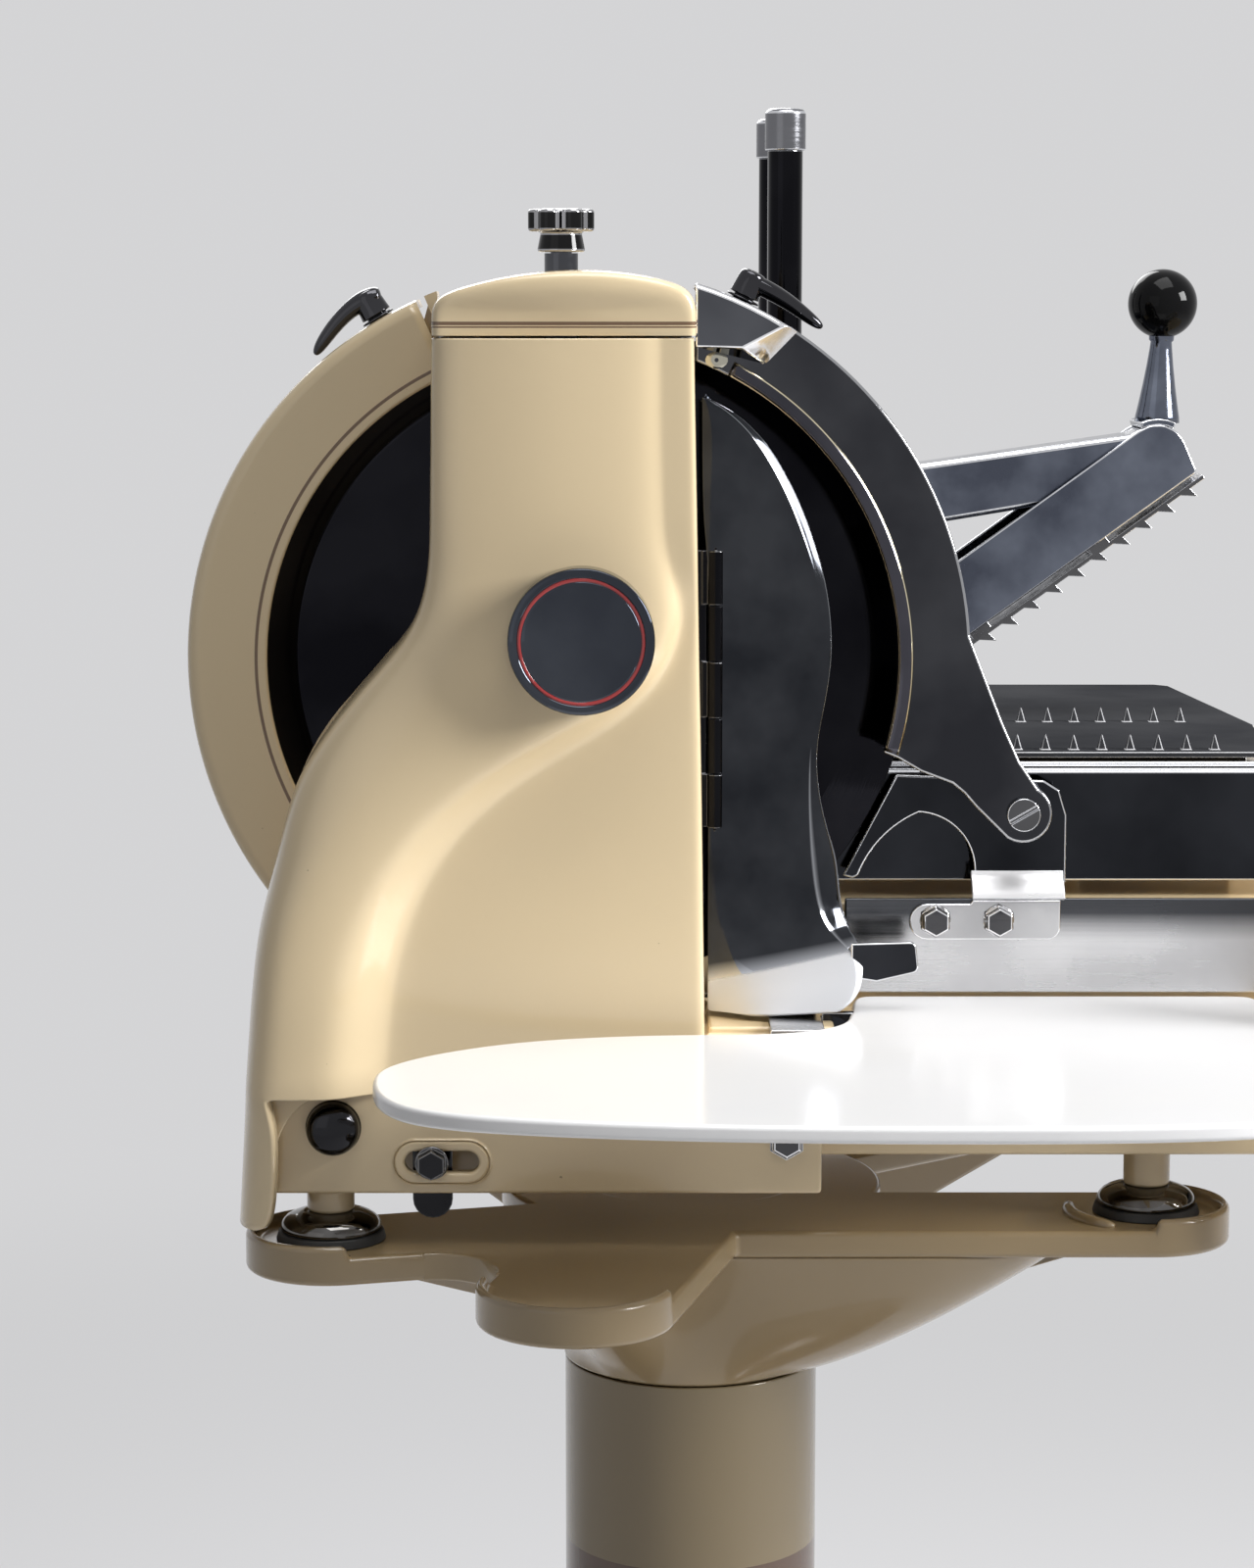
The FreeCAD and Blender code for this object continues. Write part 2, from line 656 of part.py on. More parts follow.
def guard_bracket():
    """Cranked plate on the bed that carries the swinging half."""
    plate = plate_y((113, 163), [
        (77.3, 173.4), (104.7, 226), (181, 223), (189, 218), (193, 205), (193, 163)],
        bracket_y, bracket_y + 3)
    notch = plate_y((77, 169), [(85.4, 173.4), ("arc", (103, 198), (116.6, 206.3)),
                    ("arc", (137, 197), (145.5, 175)), (145.5, 165), (112, 165)], bracket_y - 1, bracket_y + 4)
    step = box(113, 188, front_apron_y - 3, bracket_y + 3, up(163), up(166))
    tab = plate_y((122, 141), [(188, 141), (188, 166), (122, 166), ("arc", (111, 153.5), (122, 141))],
                  front_apron_y - 3, front_apron_y)
    whole = joined([plate.cut(notch), step, tab])
    return whole.cut(rod_y(pivot_x, up(pivot_lift), bracket_y - 1, bracket_y + 4, pivot_r))


def hexagon(x, lift, across, y0, y1):
    """Bolt head with its axis along Y."""
    corner = across / math.sqrt(3)
    points = []
    for i in range(6):
        angle = math.radians(60 * i + 30)
        points.append((x + corner * math.cos(angle), lift + corner * math.sin(angle)))
    return plate_y(points[0], points[1:], y0, y1)


def bracket_bolts():
    """Two bolts on the bracket's tab."""
    front = front_apron_y - 3
    bolts = []
    for x in (124.7, 157.5):
        washer = rod_y(x, up(151.6), front - 1.5, front, 8)
        bolts.append(joined([washer, hexagon(x, 151.6, 13, front - 7.5, front - 1.5)]))
    return Part.makeCompound(bolts)


def front_apron():
    """Bright plate along the front of the bed."""
    return plate_y((front_apron_left, front_apron_bottom), [
        (gearcase_left - 2, front_apron_bottom), (gearcase_left - 2, front_apron_top),
        (front_apron_left, front_apron_top)], front_apron_y, front_apron_y + 3)


def bed_bolt():
    """Large bolt and washer in the toe."""
    washer = rod_y(big_bolt_x, up(big_bolt_lift), toe_front - 3, toe_front, 16)
    return joined([washer, hexagon(big_bolt_x, big_bolt_lift, 24, toe_front - 13, toe_front - 3)])


def tension_bolt():
    """Bolt that slides in the slot, with its washer outside and nut inside."""
    front, back = toe_front - 2, toe_front + bed_wall
    shank = rod_y(tension_x, up(slot_lift), front - 0.4, back + 8, slot_r - 0.5)
    washer = rod_y(tension_x, up(slot_lift), front - 2, front - 0.4, 8.5)
    head = hexagon(tension_x, slot_lift, 13, front - 8, front - 2)
    nut = hexagon(tension_x, slot_lift, 13, back + 1.9, back + 8)
    return joined([shank, washer, head, nut])


def tension_tongue():
    """Plate on the bolt, inside the toe, whose lower end shows below."""
    back = toe_front + bed_wall
    plate = box(tension_x - 10, tension_x + 10, back + 0.4, back + 1.9, up(13), up(slot_lift + 10))
    return plate.cut(rod_y(tension_x, up(slot_lift), back, back + 3, slot_r - 0.5))


def knife():
    """Dished disc with a ground bevel, flat behind."""
    back = knife_back_y
    return turned_y(knife_x, up(knife_lift), (nose_r + seat_gap, back - knife_t), [
        (knife_hub_r, back - knife_t), ("arc", (knife_hub_r + 22, back - 7.5), (knife_flat_r, back - knife_web_t)),
        (knife_r, back - knife_edge_t), (knife_r, back), (nose_r + seat_gap, back)])


def knife_shaft():
    """Stepped shaft: nose in the knife, flange against it, journals in the casing."""
    face = knife_back_y - knife_t
    return turned_y(knife_x, up(knife_lift), (0, toe_front + 9), [
        (shaft_r, toe_front + 9), (shaft_r, face - 3), (nose_r + 8, face - 3), (nose_r + 8, face),
        (nose_r, face), (nose_r, knife_back_y), (0, knife_back_y)])


def bearing(x, lift, front):
    """Plain bearing ring with its axis along Y."""
    ring = rod_y(x, up(lift), front, front + bearing_w, bearing_r)
    return ring.cut(rod_y(x, up(lift), front, front + bearing_w, shaft_r + run_gap))


def shaft_bearings():
    """Two bearings of the knife and two of the main shaft."""
    return Part.makeCompound([
        bearing(knife_x, knife_lift, toe_front + 15), bearing(knife_x, knife_lift, casing_back - 16),
        bearing(shaft_x, shaft_lift, gearcase_front + 0.5),
        bearing(shaft_x, shaft_lift, bed_front + bed_wall - bearing_w)])


def sprocket(x, lift, teeth, y, roller_angle, bore_r):
    """Toothed disc whose tips run just inside the rollers of its chain."""
    tip_r = pitch / (2 * math.sin(math.pi / teeth)) - roller_r - tooth_gap
    step = 360 / teeth
    points = []
    for i in range(teeth):
        mid = roller_angle + step * (i + 0.5)
        for (r, half) in ((tip_r - tooth_h, 2.8), (tip_r, 1.2)):
            side = math.degrees(half / r)
            points.append((r, mid - side))
        for (r, half) in ((tip_r, 1.2), (tip_r - tooth_h, 2.8)):
            side = math.degrees(half / r)
            points.append((r, mid + side))
    points = [(x + r * math.cos(math.radians(a)), lift + r * math.sin(math.radians(a))) for (r, a) in points]
    disc = plate_y(points[0], points[1:], y - sprocket_w / 2, y + sprocket_w / 2)
    return disc.cut(rod_y(x, up(lift), y - sprocket_w, y + sprocket_w, bore_r))


def chain_loop(a, b, ra, rb):
    """Points and arc middles of a belt round two circles, and its straight length."""
    span = math.hypot(b[0] - a[0], b[1] - a[1])
    along = math.atan2(b[1] - a[1], b[0] - a[0])
    open_angle = math.acos((ra - rb) / span)

    def at(centre, r, angle):
        return (centre[0] + r * math.cos(angle), centre[1] + r * math.sin(angle))

    steps = [at(b, rb, along - open_angle), ("arc", at(b, rb, along), at(b, rb, along + open_angle)),
             at(a, ra, along + open_angle), ("arc", at(a, ra, along + math.pi), at(a, ra, along - open_angle))]
    return at(a, ra, along - open_angle), steps, span, along, open_angle


def roller(point, y0, y1):
    """Square-sided roller between the two bands of a chain."""
    x, lift = point
    half = roller_r
    return plate_y((x - half, lift), [(x, lift - half), (x + half, lift), (x, lift + half)], y0, y1)


def chain(a, b, teeth_a, teeth_b, links, y):
    """Two side bands with rollers between them, and the angle of a roller on each sprocket."""
    ra = pitch / (2 * math.sin(math.pi / teeth_a))
    rb = pitch / (2 * math.sin(math.pi / teeth_b))
    outer = chain_loop(a, b, ra + link_half, rb + link_half)
    inner = chain_loop(a, b, ra - link_half, rb - link_half)
    pieces = []
    inside = sprocket_w / 2 + 0.5
    for y0 in (y - inside - link_w, y + inside):
        band = plate_y(outer[0], outer[1], y0, y0 + link_w)
        pieces.append(band.cut(plate_y(inner[0], inner[1], y0 - 1, y0 + link_w + 1)))
    start, steps, span, along, open_angle = chain_loop(a, b, ra, rb)
    straight = span * math.sin(open_angle)
    wrap_a, wrap_b = 2 * (math.pi - open_angle) * ra, 2 * open_angle * rb
    total = 2 * straight + wrap_a + wrap_b
    for i in range(links):
        s = (total * (i + 0.5) / links - wrap_a / 2) % total
        if s < straight:
            x0, x1 = start, steps[0]
            t = s / straight
            point = (x0[0] + (x1[0] - x0[0]) * t, x0[1] + (x1[1] - x0[1]) * t)
        elif s < straight + wrap_b:
            angle = along - open_angle + (s - straight) / rb
            point = (b[0] + rb * math.cos(angle), b[1] + rb * math.sin(angle))
        elif s < 2 * straight + wrap_b:
            x0, x1 = steps[1][2], steps[2]
            t = (s - straight - wrap_b) / straight
            point = (x0[0] + (x1[0] - x0[0]) * t, x0[1] + (x1[1] - x0[1]) * t)
        else:
            angle = along + open_angle + (s - 2 * straight - wrap_b) / ra
            point = (a[0] + ra * math.cos(angle), a[1] + ra * math.sin(angle))
        pieces.append(roller(point, y - inside, y + inside))
    # The belt starts half a link from the middle of the first wrap
    angle_a = math.degrees(along) + 180 + 180 / teeth_a
    angle_b = math.degrees(along) + (180 / teeth_b if links % 2 == 0 else 0)
    return joined(pieces), angle_a, angle_b


def flywheel():
    """Rim, hub and six tapered spokes, in front of the gear case."""
    front, back = wheel_front, wheel_front + wheel_w
    z = up(shaft_lift)
    rim = turned_y(shaft_x, z, (wheel_r - rim_t, front + 6), [
        (wheel_r - rim_t + 6, front), (wheel_r - 6, front), (wheel_r, front + 7), (wheel_r, back - 7),
        (wheel_r - 6, back), (wheel_r - rim_t + 6, back), (wheel_r - rim_t, back - 6)])
    hub = turned_y(shaft_x, z, (0, front - 5), [(wheel_hub_r - 6, front - 5), (wheel_hub_r, front),
                   (wheel_hub_r, back), (wheel_hub_r - 6, gearcase_front - 12), (0, gearcase_front - 12)])
    pieces = [rim, hub]
    mid = front + wheel_w / 2
    for i in range(spokes):
        spoke = Part.makeCone(spoke_r, spoke_r - 2, wheel_r - rim_t / 2, Vector(shaft_x, mid, z), Vector(1, 0, 0))
        spoke.rotate(Vector(shaft_x, mid, z), Vector(0, 1, 0), 360 / spokes * i + grip_angle / 2)
        pieces.append(spoke)
    boss = rod_y(grip_x, grip_z, front - 6, back, 13)
    pieces.append(boss.cut(turned_y(shaft_x, z, (0, front - 20), [(60, front - 20), (60, back), (0, back)])))
    arm_box = box(shaft_x, shaft_x + grip_circle_r, mid - 6, mid + 6, z - 10, z + 10)
    arm_box.rotate(Vector(shaft_x, mid, z), Vector(0, 1, 0), -grip_angle)
    pieces.append(arm_box)
    wheel = joined(pieces)
    wheel = wheel.cut(rod_y(shaft_x, z, front - 10, gearcase_front, shaft_r + seat_gap))
    return wheel.cut(rod_y(grip_x, grip_z, front - 7, back + 1, grip_pin_r + seat_gap))


def grip_pin():
    """Pin of the crank, with a button at its end."""
    front = wheel_front - 8 - grip_len
    shank = rod_y(grip_x, grip_z, front - 2, wheel_front + wheel_w - 4, grip_pin_r)
    return joined([shank, rod_y(grip_x, grip_z, front - 6, front - 0.5, grip_pin_r + 4)])


def crank_grip():
    """Turned grip, free on its pin."""
    front = wheel_front - 8 - grip_len
    back = wheel_front - 8
    grip = turned_y(grip_x, grip_z, (grip_pin_r + run_gap, front), [
        (grip_r - 4, front), ("arc", (grip_r, front + 30), (grip_r - 3, back - 16)),
        (grip_r - 1, back), (grip_pin_r + run_gap, back)])
    return grip


def main_shaft():
    """Shaft through the gear case that carries the flywheel, a sprocket and the pinion."""
    return rod_y(shaft_x, up(shaft_lift), wheel_front - 5, plate_near, shaft_r)


def drive_pinion():
    """Straight-toothed pinion above the crown wheel."""
    radius = tooth_module * pinion_teeth / 2
    points = []
    for i in range(pinion_teeth):
        mid = 360 / pinion_teeth * i - 90
        for (r, half) in ((radius - 5, 4.0), (radius + 3.5, 1.5)):
            points.append((r, mid - math.degrees(half / r)))
        for (r, half) in ((radius + 3.5, 1.5), (radius - 5, 4.0)):
            points.append((r, mid + math.degrees(half / r)))
    points = [(shaft_x + r * math.cos(math.radians(a)), shaft_lift + r * math.sin(math.radians(a)))
              for (r, a) in points]
    y1 = mid_y - crown_mid_r + pinion_w / 2
    gear = plate_y(points[0], points[1:], y1 - pinion_w, y1)
    return gear.cut(rod_y(shaft_x, up(shaft_lift), y1 - 20, y1 + 1, shaft_r + seat_gap))


def crown_wheel():
    """Face gear under the pinion, with its shaft above and the crank pin below."""
    bottom, top = up(crown_lift), up(crown_lift + crown_t)
    inner, outer = crown_mid_r - pinion_w / 2, crown_mid_r + pinion_w / 2
    disc = turned_z(shaft_x, mid_y, (0, bottom), [
        (crown_r, bottom), (crown_r, top), (outer, top), (outer, top + 5), (inner, top + 5),
        (inner, top - 4), (crown_shaft_r + 8, top - 4), (crown_shaft_r + 8, top + 8),
        (crown_shaft_r, top + 8), (crown_shaft_r, up(bed_top - 6)), (0, up(bed_top - 6))])
    pieces = [disc]
    for i in range(crown_teeth):
        tooth = box(shaft_x + inner, shaft_x + outer, mid_y - 2.75, mid_y + 2.75, top + 4, top + 13.5)
        tooth.rotate(Vector(shaft_x, mid_y, 0), Vector(0, 0, 1), 360 / crown_teeth * (i + 0.5))
        pieces.append(tooth)
    pieces.append(rod_z(shaft_x + crank_r, mid_y, up(link_lift - 3), bottom, crank_pin_r))
    return joined(pieces)


def connecting_rod():
    """Rod from the crank pin to the lug under the carriage."""
    z0, z1 = up(link_lift), up(link_lift + link_t)
    x1 = shaft_x + crank_r
    x0 = x1 - link_len
    rod = joined([rod_z(x1, mid_y, z0, z1, 16), rod_z(x0, mid_y, z0, z1, 14),
                  box(x0, x1, mid_y - 9, mid_y + 9, z0 + 1, z1 - 1)])
    rod = rod.cut(rod_z(x1, mid_y, z0, z1, crank_pin_r + run_gap))
    return rod.cut(rod_z(x0, mid_y, z0, z1, 7))


def slide_rods():
    """Two bright rods along the bed."""
    return Part.makeCompound([
        rod_x(y, up(rod_lift), bed_left + 3, carriage_right + 37, rod_r) for y in (rod_front_y, rod_rear_y)])


def carriage():
    """Plate with skirts, four bearing blocks on the rods and the lug for the connecting rod."""
    plate = box(carriage_left, carriage_right, carriage_front, carriage_rear,
                up(carriage_top - carriage_plate), up(carriage_top))
    under = up(carriage_top - carriage_plate)
    pieces = [plate,
              box(carriage_left, carriage_right, carriage_front, carriage_front + 8, up(carriage_skirt), under),
              box(carriage_left, carriage_right, carriage_rear - 8, carriage_rear, up(carriage_skirt), under)]
    for x in (carriage_left + 10, carriage_right - 40):
        for y in (rod_front_y, rod_rear_y):
            pieces.append(box(x, x + 30, y - 14, y + 14, up(rod_lift - 14), under))
    pieces.append(box(190, 215, mid_y - 8.5, mid_y + 8.5, up(link_lift + link_t + face_gap), under))
    body = joined(pieces)
    for y in (rod_front_y, rod_rear_y):
        body = body.cut(rod_x(y, up(rod_lift), carriage_left, carriage_right, rod_r + run_gap))
    body = body.cut(box(feed_x - 11, feed_x + 11, 28, 188, under - 1, up(carriage_top + 1)))
    return body.cut(rod_y(feed_x, up(feed_lift), carriage_front + 3.5, carriage_rear + 1, feed_r + run_gap))


def upper_apron():
    """Bright plate on the front of the carriage."""
    return box(62, carriage_right, carriage_front - 2 * apron_t, carriage_front - apron_t,
               up(apron_bottom), up(apron_top))


def ribbed_strip():
    """Grooved strip along the carriage's front edge."""
    strip = box(62, carriage_right, carriage_front - apron_t, -12, up(carriage_top), up(plate_lift - 2.6))
    spacer = box(62, carriage_right, carriage_front - apron_t, carriage_front, up(apron_bottom + 6),
                 up(carriage_top))
    ribs = [box(62, carriage_right, y, y + 2, up(plate_lift - 2.7), up(plate_lift - 0.8))
            for y in (-33, -28, -23, -18)]
    return joined([strip, spacer] + ribs)


def table_slide():
    """Slide under the meat plate, with the half nut on the feed screw."""
    slide = box(120, 298, 20, 300, up(carriage_top + 0.3), up(plate_lift))
    nut = box(feed_x - 9, feed_x + 9, 60, 80, up(feed_lift - 3), up(carriage_top + 1))
    return joined([slide, nut]).cut(rod_y(feed_x, up(feed_lift), 59, 81, feed_r + run_gap))


def spike(x, y):
    """Four-sided point on the table."""
    point = Part.makeWedge(-spike_r, 0, -spike_r, -0.3, -0.3, spike_r, spike_h, spike_r, 0.3, 0.3)
    point.rotate(Vector(0, 0, 0), Vector(1, 0, 0), 90)
    point.translate(Vector(x, y, up(plate_lift + plate_t)))
    return point


def meat_plate():
    """Polished table with two rows of spikes."""
    plate = plate_z((plate_left, plate_near), [
        (345, plate_near), (345, 6), ("arc", (322, 50), (317, 113)), (298, 312), (290, 320), (plate_left, 320)],
        up(plate_lift), up(plate_lift + plate_t))
    pieces = [plate]
    for row in (4, 128):
        for i in range(8):
            pieces.append(spike(173 + spike_step * i, row))
    return joined(pieces)


def feed_screw():
    """Screw under the table, in both skirts of the carriage."""
    return rod_y(feed_x, up(feed_lift), carriage_front + 4, carriage_rear + 22, feed_r)


def feed_knob():
    """Knob on the far end of the feed screw."""
    front = carriage_rear + face_gap
    knob = turned_y(feed_x, up(feed_lift), (feed_r + seat_gap, front), [
        (10, front), (14, front + 5), (14, front + 20), (feed_r + seat_gap, front + 20)])
    return knob


def posts():
    """Two bright posts of the press."""
    return Part.makeCompound([
        rod_z(post_x, y, up(plate_lift + plate_t), up(post_top - cap_h), post_r)
        for y in (post_front_y, post_rear_y)])


def post_caps():
    """Cap on each post."""
    caps = []
    for y in (post_front_y, post_rear_y):
        z0, z1 = up(post_top - cap_h), up(post_top)
        caps.append(turned_z(post_x, y, (0, z0), [
            (cap_r, z0), (cap_r, z1 - 2), (cap_r - 2, z1), (0, z1)]))
    return Part.makeCompound(caps)


def press_arm():
    """Head on the two posts with the arm that carries the jaw."""
    head = box(36, 72, post_front_y - 18, post_rear_y + 18, up(330), up(382))
    ends = [(hinge_x + arm_end_r * math.cos(math.radians(a)), hinge_lift + arm_end_r * math.sin(math.radians(a)))
            for a in (-110, 10, 132)]
    arm = plate_y((60, 332), [(72, 332), ends[0], ("arc", ends[1], ends[2]), (72, 368), (60, 368)],
                  jaw_y - arm_w / 2, jaw_y + arm_w / 2)
    whole = joined([head, arm])
    for y in (post_front_y, post_rear_y):
        whole = whole.cut(rod_z(post_x, y, up(320), up(390), post_r + run_gap))
    return whole.cut(rod_y(hinge_x, up(hinge_lift), 100, 200, jaw_pin_r + run_gap))


def along_jaw(shape):
    """Turn a shape drawn level, reaching to the left of the hinge, down to the jaw's slope."""
    shape.rotate(Vector(hinge_x, 0, up(hinge_lift)), Vector(0, 1, 0), -jaw_angle)
    return shape


def press_jaw():
    """Channel on the arm's end: two cheeks, a lower web, a bridge on top and the hinge pin."""
    y0, y1 = jaw_y - jaw_w / 2, jaw_y + jaw_w / 2
    x0, x1 = hinge_x - jaw_len, hinge_x
    low, high = hinge_lift - jaw_r, hinge_lift + jaw_r
    pieces = []
    for (a, b) in ((y0, y0 + jaw_wall), (y1 - jaw_wall, y1)):
        cheek = plate_y((x0, low), [(x1 + jaw_r - 5.5, low), (x1 + jaw_r - 1.2, hinge_lift),
                        ("arc", (x1 + jaw_r * 0.7, hinge_lift + jaw_r * 0.7), (x1, high)),
                        (x0 + 14, high), ("arc", (x0 + 4, high - 4), (x0, high - 14))], a, b)
        pieces.append(along_jaw(cheek))
    web = box(x0, x1 - 40, y0 + jaw_wall, y1 - jaw_wall, up(low), up(low + jaw_wall))
    pieces.append(along_jaw(web))
    bridge = turned_y(hinge_x, up(hinge_lift), (jaw_r - 0.2, y0), [
        (jaw_r + 3.5, y0), (jaw_r + 3.5, y1), (jaw_r - 0.2, y1)])
    keep = plate_y((hinge_x, hinge_lift), [(hinge_x - 14, hinge_lift + 30), (hinge_x + 14, hinge_lift + 30)],
                   y0 - 1, y1 + 1)
    pieces.append(bridge.common(keep))
    pieces.append(rod_y(hinge_x, up(hinge_lift), y0 + 1, y1 + 3, jaw_pin_r))
    return joined(pieces)


def jaw_teeth():
    """Saw-toothed strip carried just below the jaw."""
    y0, y1 = jaw_y - 21, jaw_y + 21
    x0, x1 = hinge_x - jaw_len, hinge_x + jaw_r - 3.5
    top = hinge_lift - jaw_r
    strip = box(x0, x1, y0, y1, up(top - 6), up(top - 3.5))
    blocks = [box(x, x + 12, y0, y1, up(top - 3.5), up(top)) for x in (x0 + 10, x1 - 76)]
    fins = []
    for i in range(10):
        x = x1 - 9 - tooth_step * i
        fins.append(plate_y((x - 7.5, top - 6), [(x - 1, top - 6), (x, top - 12)], y0, y1))
    return along_jaw(joined([strip] + blocks + fins))


def ball_lever():
    """Tapered lever that stands on the jaw's bridge."""
    foot = Vector(hinge_x + 2.2, jaw_y, up(hinge_lift + jaw_r - 3))
    tip = Vector(267.4, jaw_y, up(452))
    cone = Part.makeCone(13, 6, (tip - foot).Length, foot, tip - foot)
    return cone.cut(rod_y(hinge_x, up(hinge_lift), 100, 200, jaw_r + 3.5))


def ball_knob():
    """Ball on the lever."""
    ball = Part.makeSphere(ball_r, Vector(267.5, jaw_y, up(466)))
    return ball.cut(ball_lever())


def deflector():
    """Curved plate that turns the slices down, with its moving knuckles and finger tab."""
    y = deflector_y
    wire = outline((y, up(430)), [(y, up(190)), ("arc", (y - 2.5, up(152)), (y - 17, up(108))),
                   (y - 17 + deflector_t, up(108)), ("arc", (y + deflector_t - 2.5, up(152)),
                   (y + deflector_t, up(190))), (y + deflector_t, up(430))], lambda q, z: Vector(0, q, z))
    sheet = Part.Face(wire).extrude(Vector(120, 0, 0))
    shape = plate_y((6.5, 419), [(6.5, 149), (13.8, 110.8), (34.6, 110.8), (64.3, 114.9), (85, 120.9), (82.4, 144), (77.3, 162),
                    ("arc", (62.4, 224), (61.2, 254.7)), ("arc", (69.6, 293), (66, 326.5)),
                    ("arc", (46, 374), (6.5, 419))], y - 30, y + 10)
    plate = sheet.common(shape)
    tab = plate_y((78, 131), [(104, 131), ("arc", (112, 139), (104, 147)), (78, 147)], y - 6.5, y - 4)
    for (z0, z1) in fixed_knuckles:
        plate = plate.cut(rod_z(hinge_pin_x, hinge_pin_y, up(z0 - face_gap), up(z1 + face_gap), knuckle_r + 1))
    pieces = [plate, tab]
    for (z0, z1) in moving_knuckles:
        pieces.append(rod_z(hinge_pin_x, hinge_pin_y, up(z0), up(z1), knuckle_r))
    return joined(pieces).cut(rod_z(hinge_pin_x, hinge_pin_y, up(200), up(350), hinge_pin_r + run_gap))


def deflector_hinge():
    """Leaf on the casing's side with the fixed knuckles and the pin."""
    leaf = plate_y((2.9, 205), [(5.4, 205), (5.4, 345), (0.5, 345)], -93, -78)
    pieces = [leaf]
    for (z0, z1) in fixed_knuckles:
        pieces.append(rod_z(hinge_pin_x, hinge_pin_y, up(z0), up(z1), knuckle_r))
        pieces.append(box(3, hinge_pin_x, -95, -92.5, up(z0), up(z1)))
    pieces.append(rod_z(hinge_pin_x, hinge_pin_y, up(203), up(347), hinge_pin_r))
    return joined(pieces)


def receiving_tray():
    """Shaped tray in front of the bed, with a groove round it."""
    steps = [(-40, -163), (4, -163), (36, -160), ("arc", (62, -150), (76, -131)), (81, -75), (86, -64), (290, -64),
             (299, -180), (300, -250), ("arc", (290, -320), (240, -356)), ("arc", (190, -364), (137, -365)),
             ("arc", (-10, -359), (-111, -341)), ("arc", (-137, -323), (-148, -296)),
             ("arc", (-152, -240), (-136, -163))]
    return plate_z((-136, -163), steps, up(shelf_top), up(shelf_top + tray_t))


def sharpener_knob():
    """Knob with a collar and six lobes, turning on the stem."""
    z0, z1, z2 = up(493), up(503), up(514)
    x, y = sharpener_x, sharpener_y
    pieces = [Part.makeCone(12, 10, z1 - z0, Vector(x, y, z0)), rod_z(x, y, z1, z2, 12.5)]
    for i in range(6):
        angle = math.radians(60 * i)
        pieces.append(rod_z(x + 11.5 * math.cos(angle), y + 11.5 * math.sin(angle), z1, z2, 4.8))
    knob = joined(pieces)
    return knob.cut(rod_z(x, y, z0, z1 + 4, sharpener_r - 3 + run_gap))


def sharpener_stem():
    """Plunger through the cap with an arm that reaches back over the knife's edge."""
    x, y = sharpener_x, sharpener_y
    pieces = [rod_z(x, y, up(420), up(492.5), sharpener_r), rod_z(x, y, up(492.5), up(506.5), sharpener_r - 3),
              box(x - 7, x + 7, y, -42, up(475), up(481)),
              box(x - 5, x + 5, -60.5, -57, up(460), up(476)), box(x - 5, x + 5, -45, -42, up(460), up(476))]
    return joined(pieces)


def sharpening_stones():
    """Two small stones, one on each side of the knife's edge."""
    x = sharpener_x
    front = rod_y(x, up(465.5), -57, -52.3, 9)
    back = rod_y(x, up(465.5), -49.2, -45, 9)
    return Part.makeCompound([front, back])


# Values shared by several pieces
small_pitch_r = pitch / (2 * math.sin(math.pi / small_teeth))
big_pitch_r = pitch / (2 * math.sin(math.pi / big_teeth))
crown_mid_r = tooth_module * crown_teeth / 2
sharpener_x = -67.0
sharpener_y = -110.0
sharpener_r = 8.3
fixed_knuckles = [(205, 232), (261, 289), (318, 345)]
moving_knuckles = [(232.5, 260.5), (289.5, 317.5)]
grip_x = shaft_x + grip_circle_r * math.cos(math.radians(grip_angle))
grip_z = up(shaft_lift) + grip_circle_r * math.sin(math.radians(grip_angle))
knife_centre = (knife_x, knife_lift)
idler_centre = (knife_x, idler_lift)
main_centre = (shaft_x, shaft_lift)

upper, upper_idler_angle, upper_knife_angle = chain(
    idler_centre, knife_centre, big_teeth, small_teeth, upper_links, upper_chain_y)
lower, lower_idler_angle, lower_main_angle = chain(
    idler_centre, main_centre, small_teeth, small_teeth, lower_links, lower_chain_y)

simple = [pedestal_base, pedestal_column, pedestal_head, foot_domes, foot_rings, bed, main_casing,
          casing_back_plate, top_cover, hub_cap, left_ring_guard, right_ring_guard, guard_bead,
          guard_pivot_screw, guard_bracket, bracket_bolts, front_apron, bed_bolt, tension_bolt,
          tension_tongue, knife, knife_shaft, shaft_bearings, flywheel, grip_pin, crank_grip,
          main_shaft, drive_pinion, crown_wheel, connecting_rod, slide_rods, carriage, upper_apron,
          ribbed_strip, table_slide, meat_plate, feed_screw, feed_knob, posts, post_caps, press_arm,
          press_jaw, jaw_teeth, ball_lever, ball_knob, deflector, deflector_hinge, receiving_tray,
          sharpener_knob, sharpener_stem, sharpening_stones]
for build in simple:
    parts[build.__name__] = build()

parts["left_guard_lever"] = clamp_lever(left_lever_angle, (-23, 2.5), (-34.5, -16.6))
parts["right_guard_lever"] = clamp_lever(right_lever_angle, (29.5, 2.9), (41.1, -15.4))
parts["upper_chain"] = upper
parts["lower_chain"] = lower
parts["knife_sprocket"] = sprocket(knife_x, knife_lift, small_teeth, upper_chain_y, upper_knife_angle,
                                   shaft_r + seat_gap)
parts["idler_sprockets"] = Part.makeCompound([
    sprocket(knife_x, idler_lift, big_teeth, upper_chain_y, upper_idler_angle, idler_r + seat_gap),
    sprocket(knife_x, idler_lift, small_teeth, lower_chain_y, lower_idler_angle, idler_r + seat_gap)])
parts["drive_sprocket"] = sprocket(shaft_x, shaft_lift, small_teeth, lower_chain_y, lower_main_angle,
                                   shaft_r + seat_gap)
parts["idler_shaft"] = rod_y(knife_x, up(idler_lift), upper_chain_y - 6, lower_chain_y + 6, idler_r)

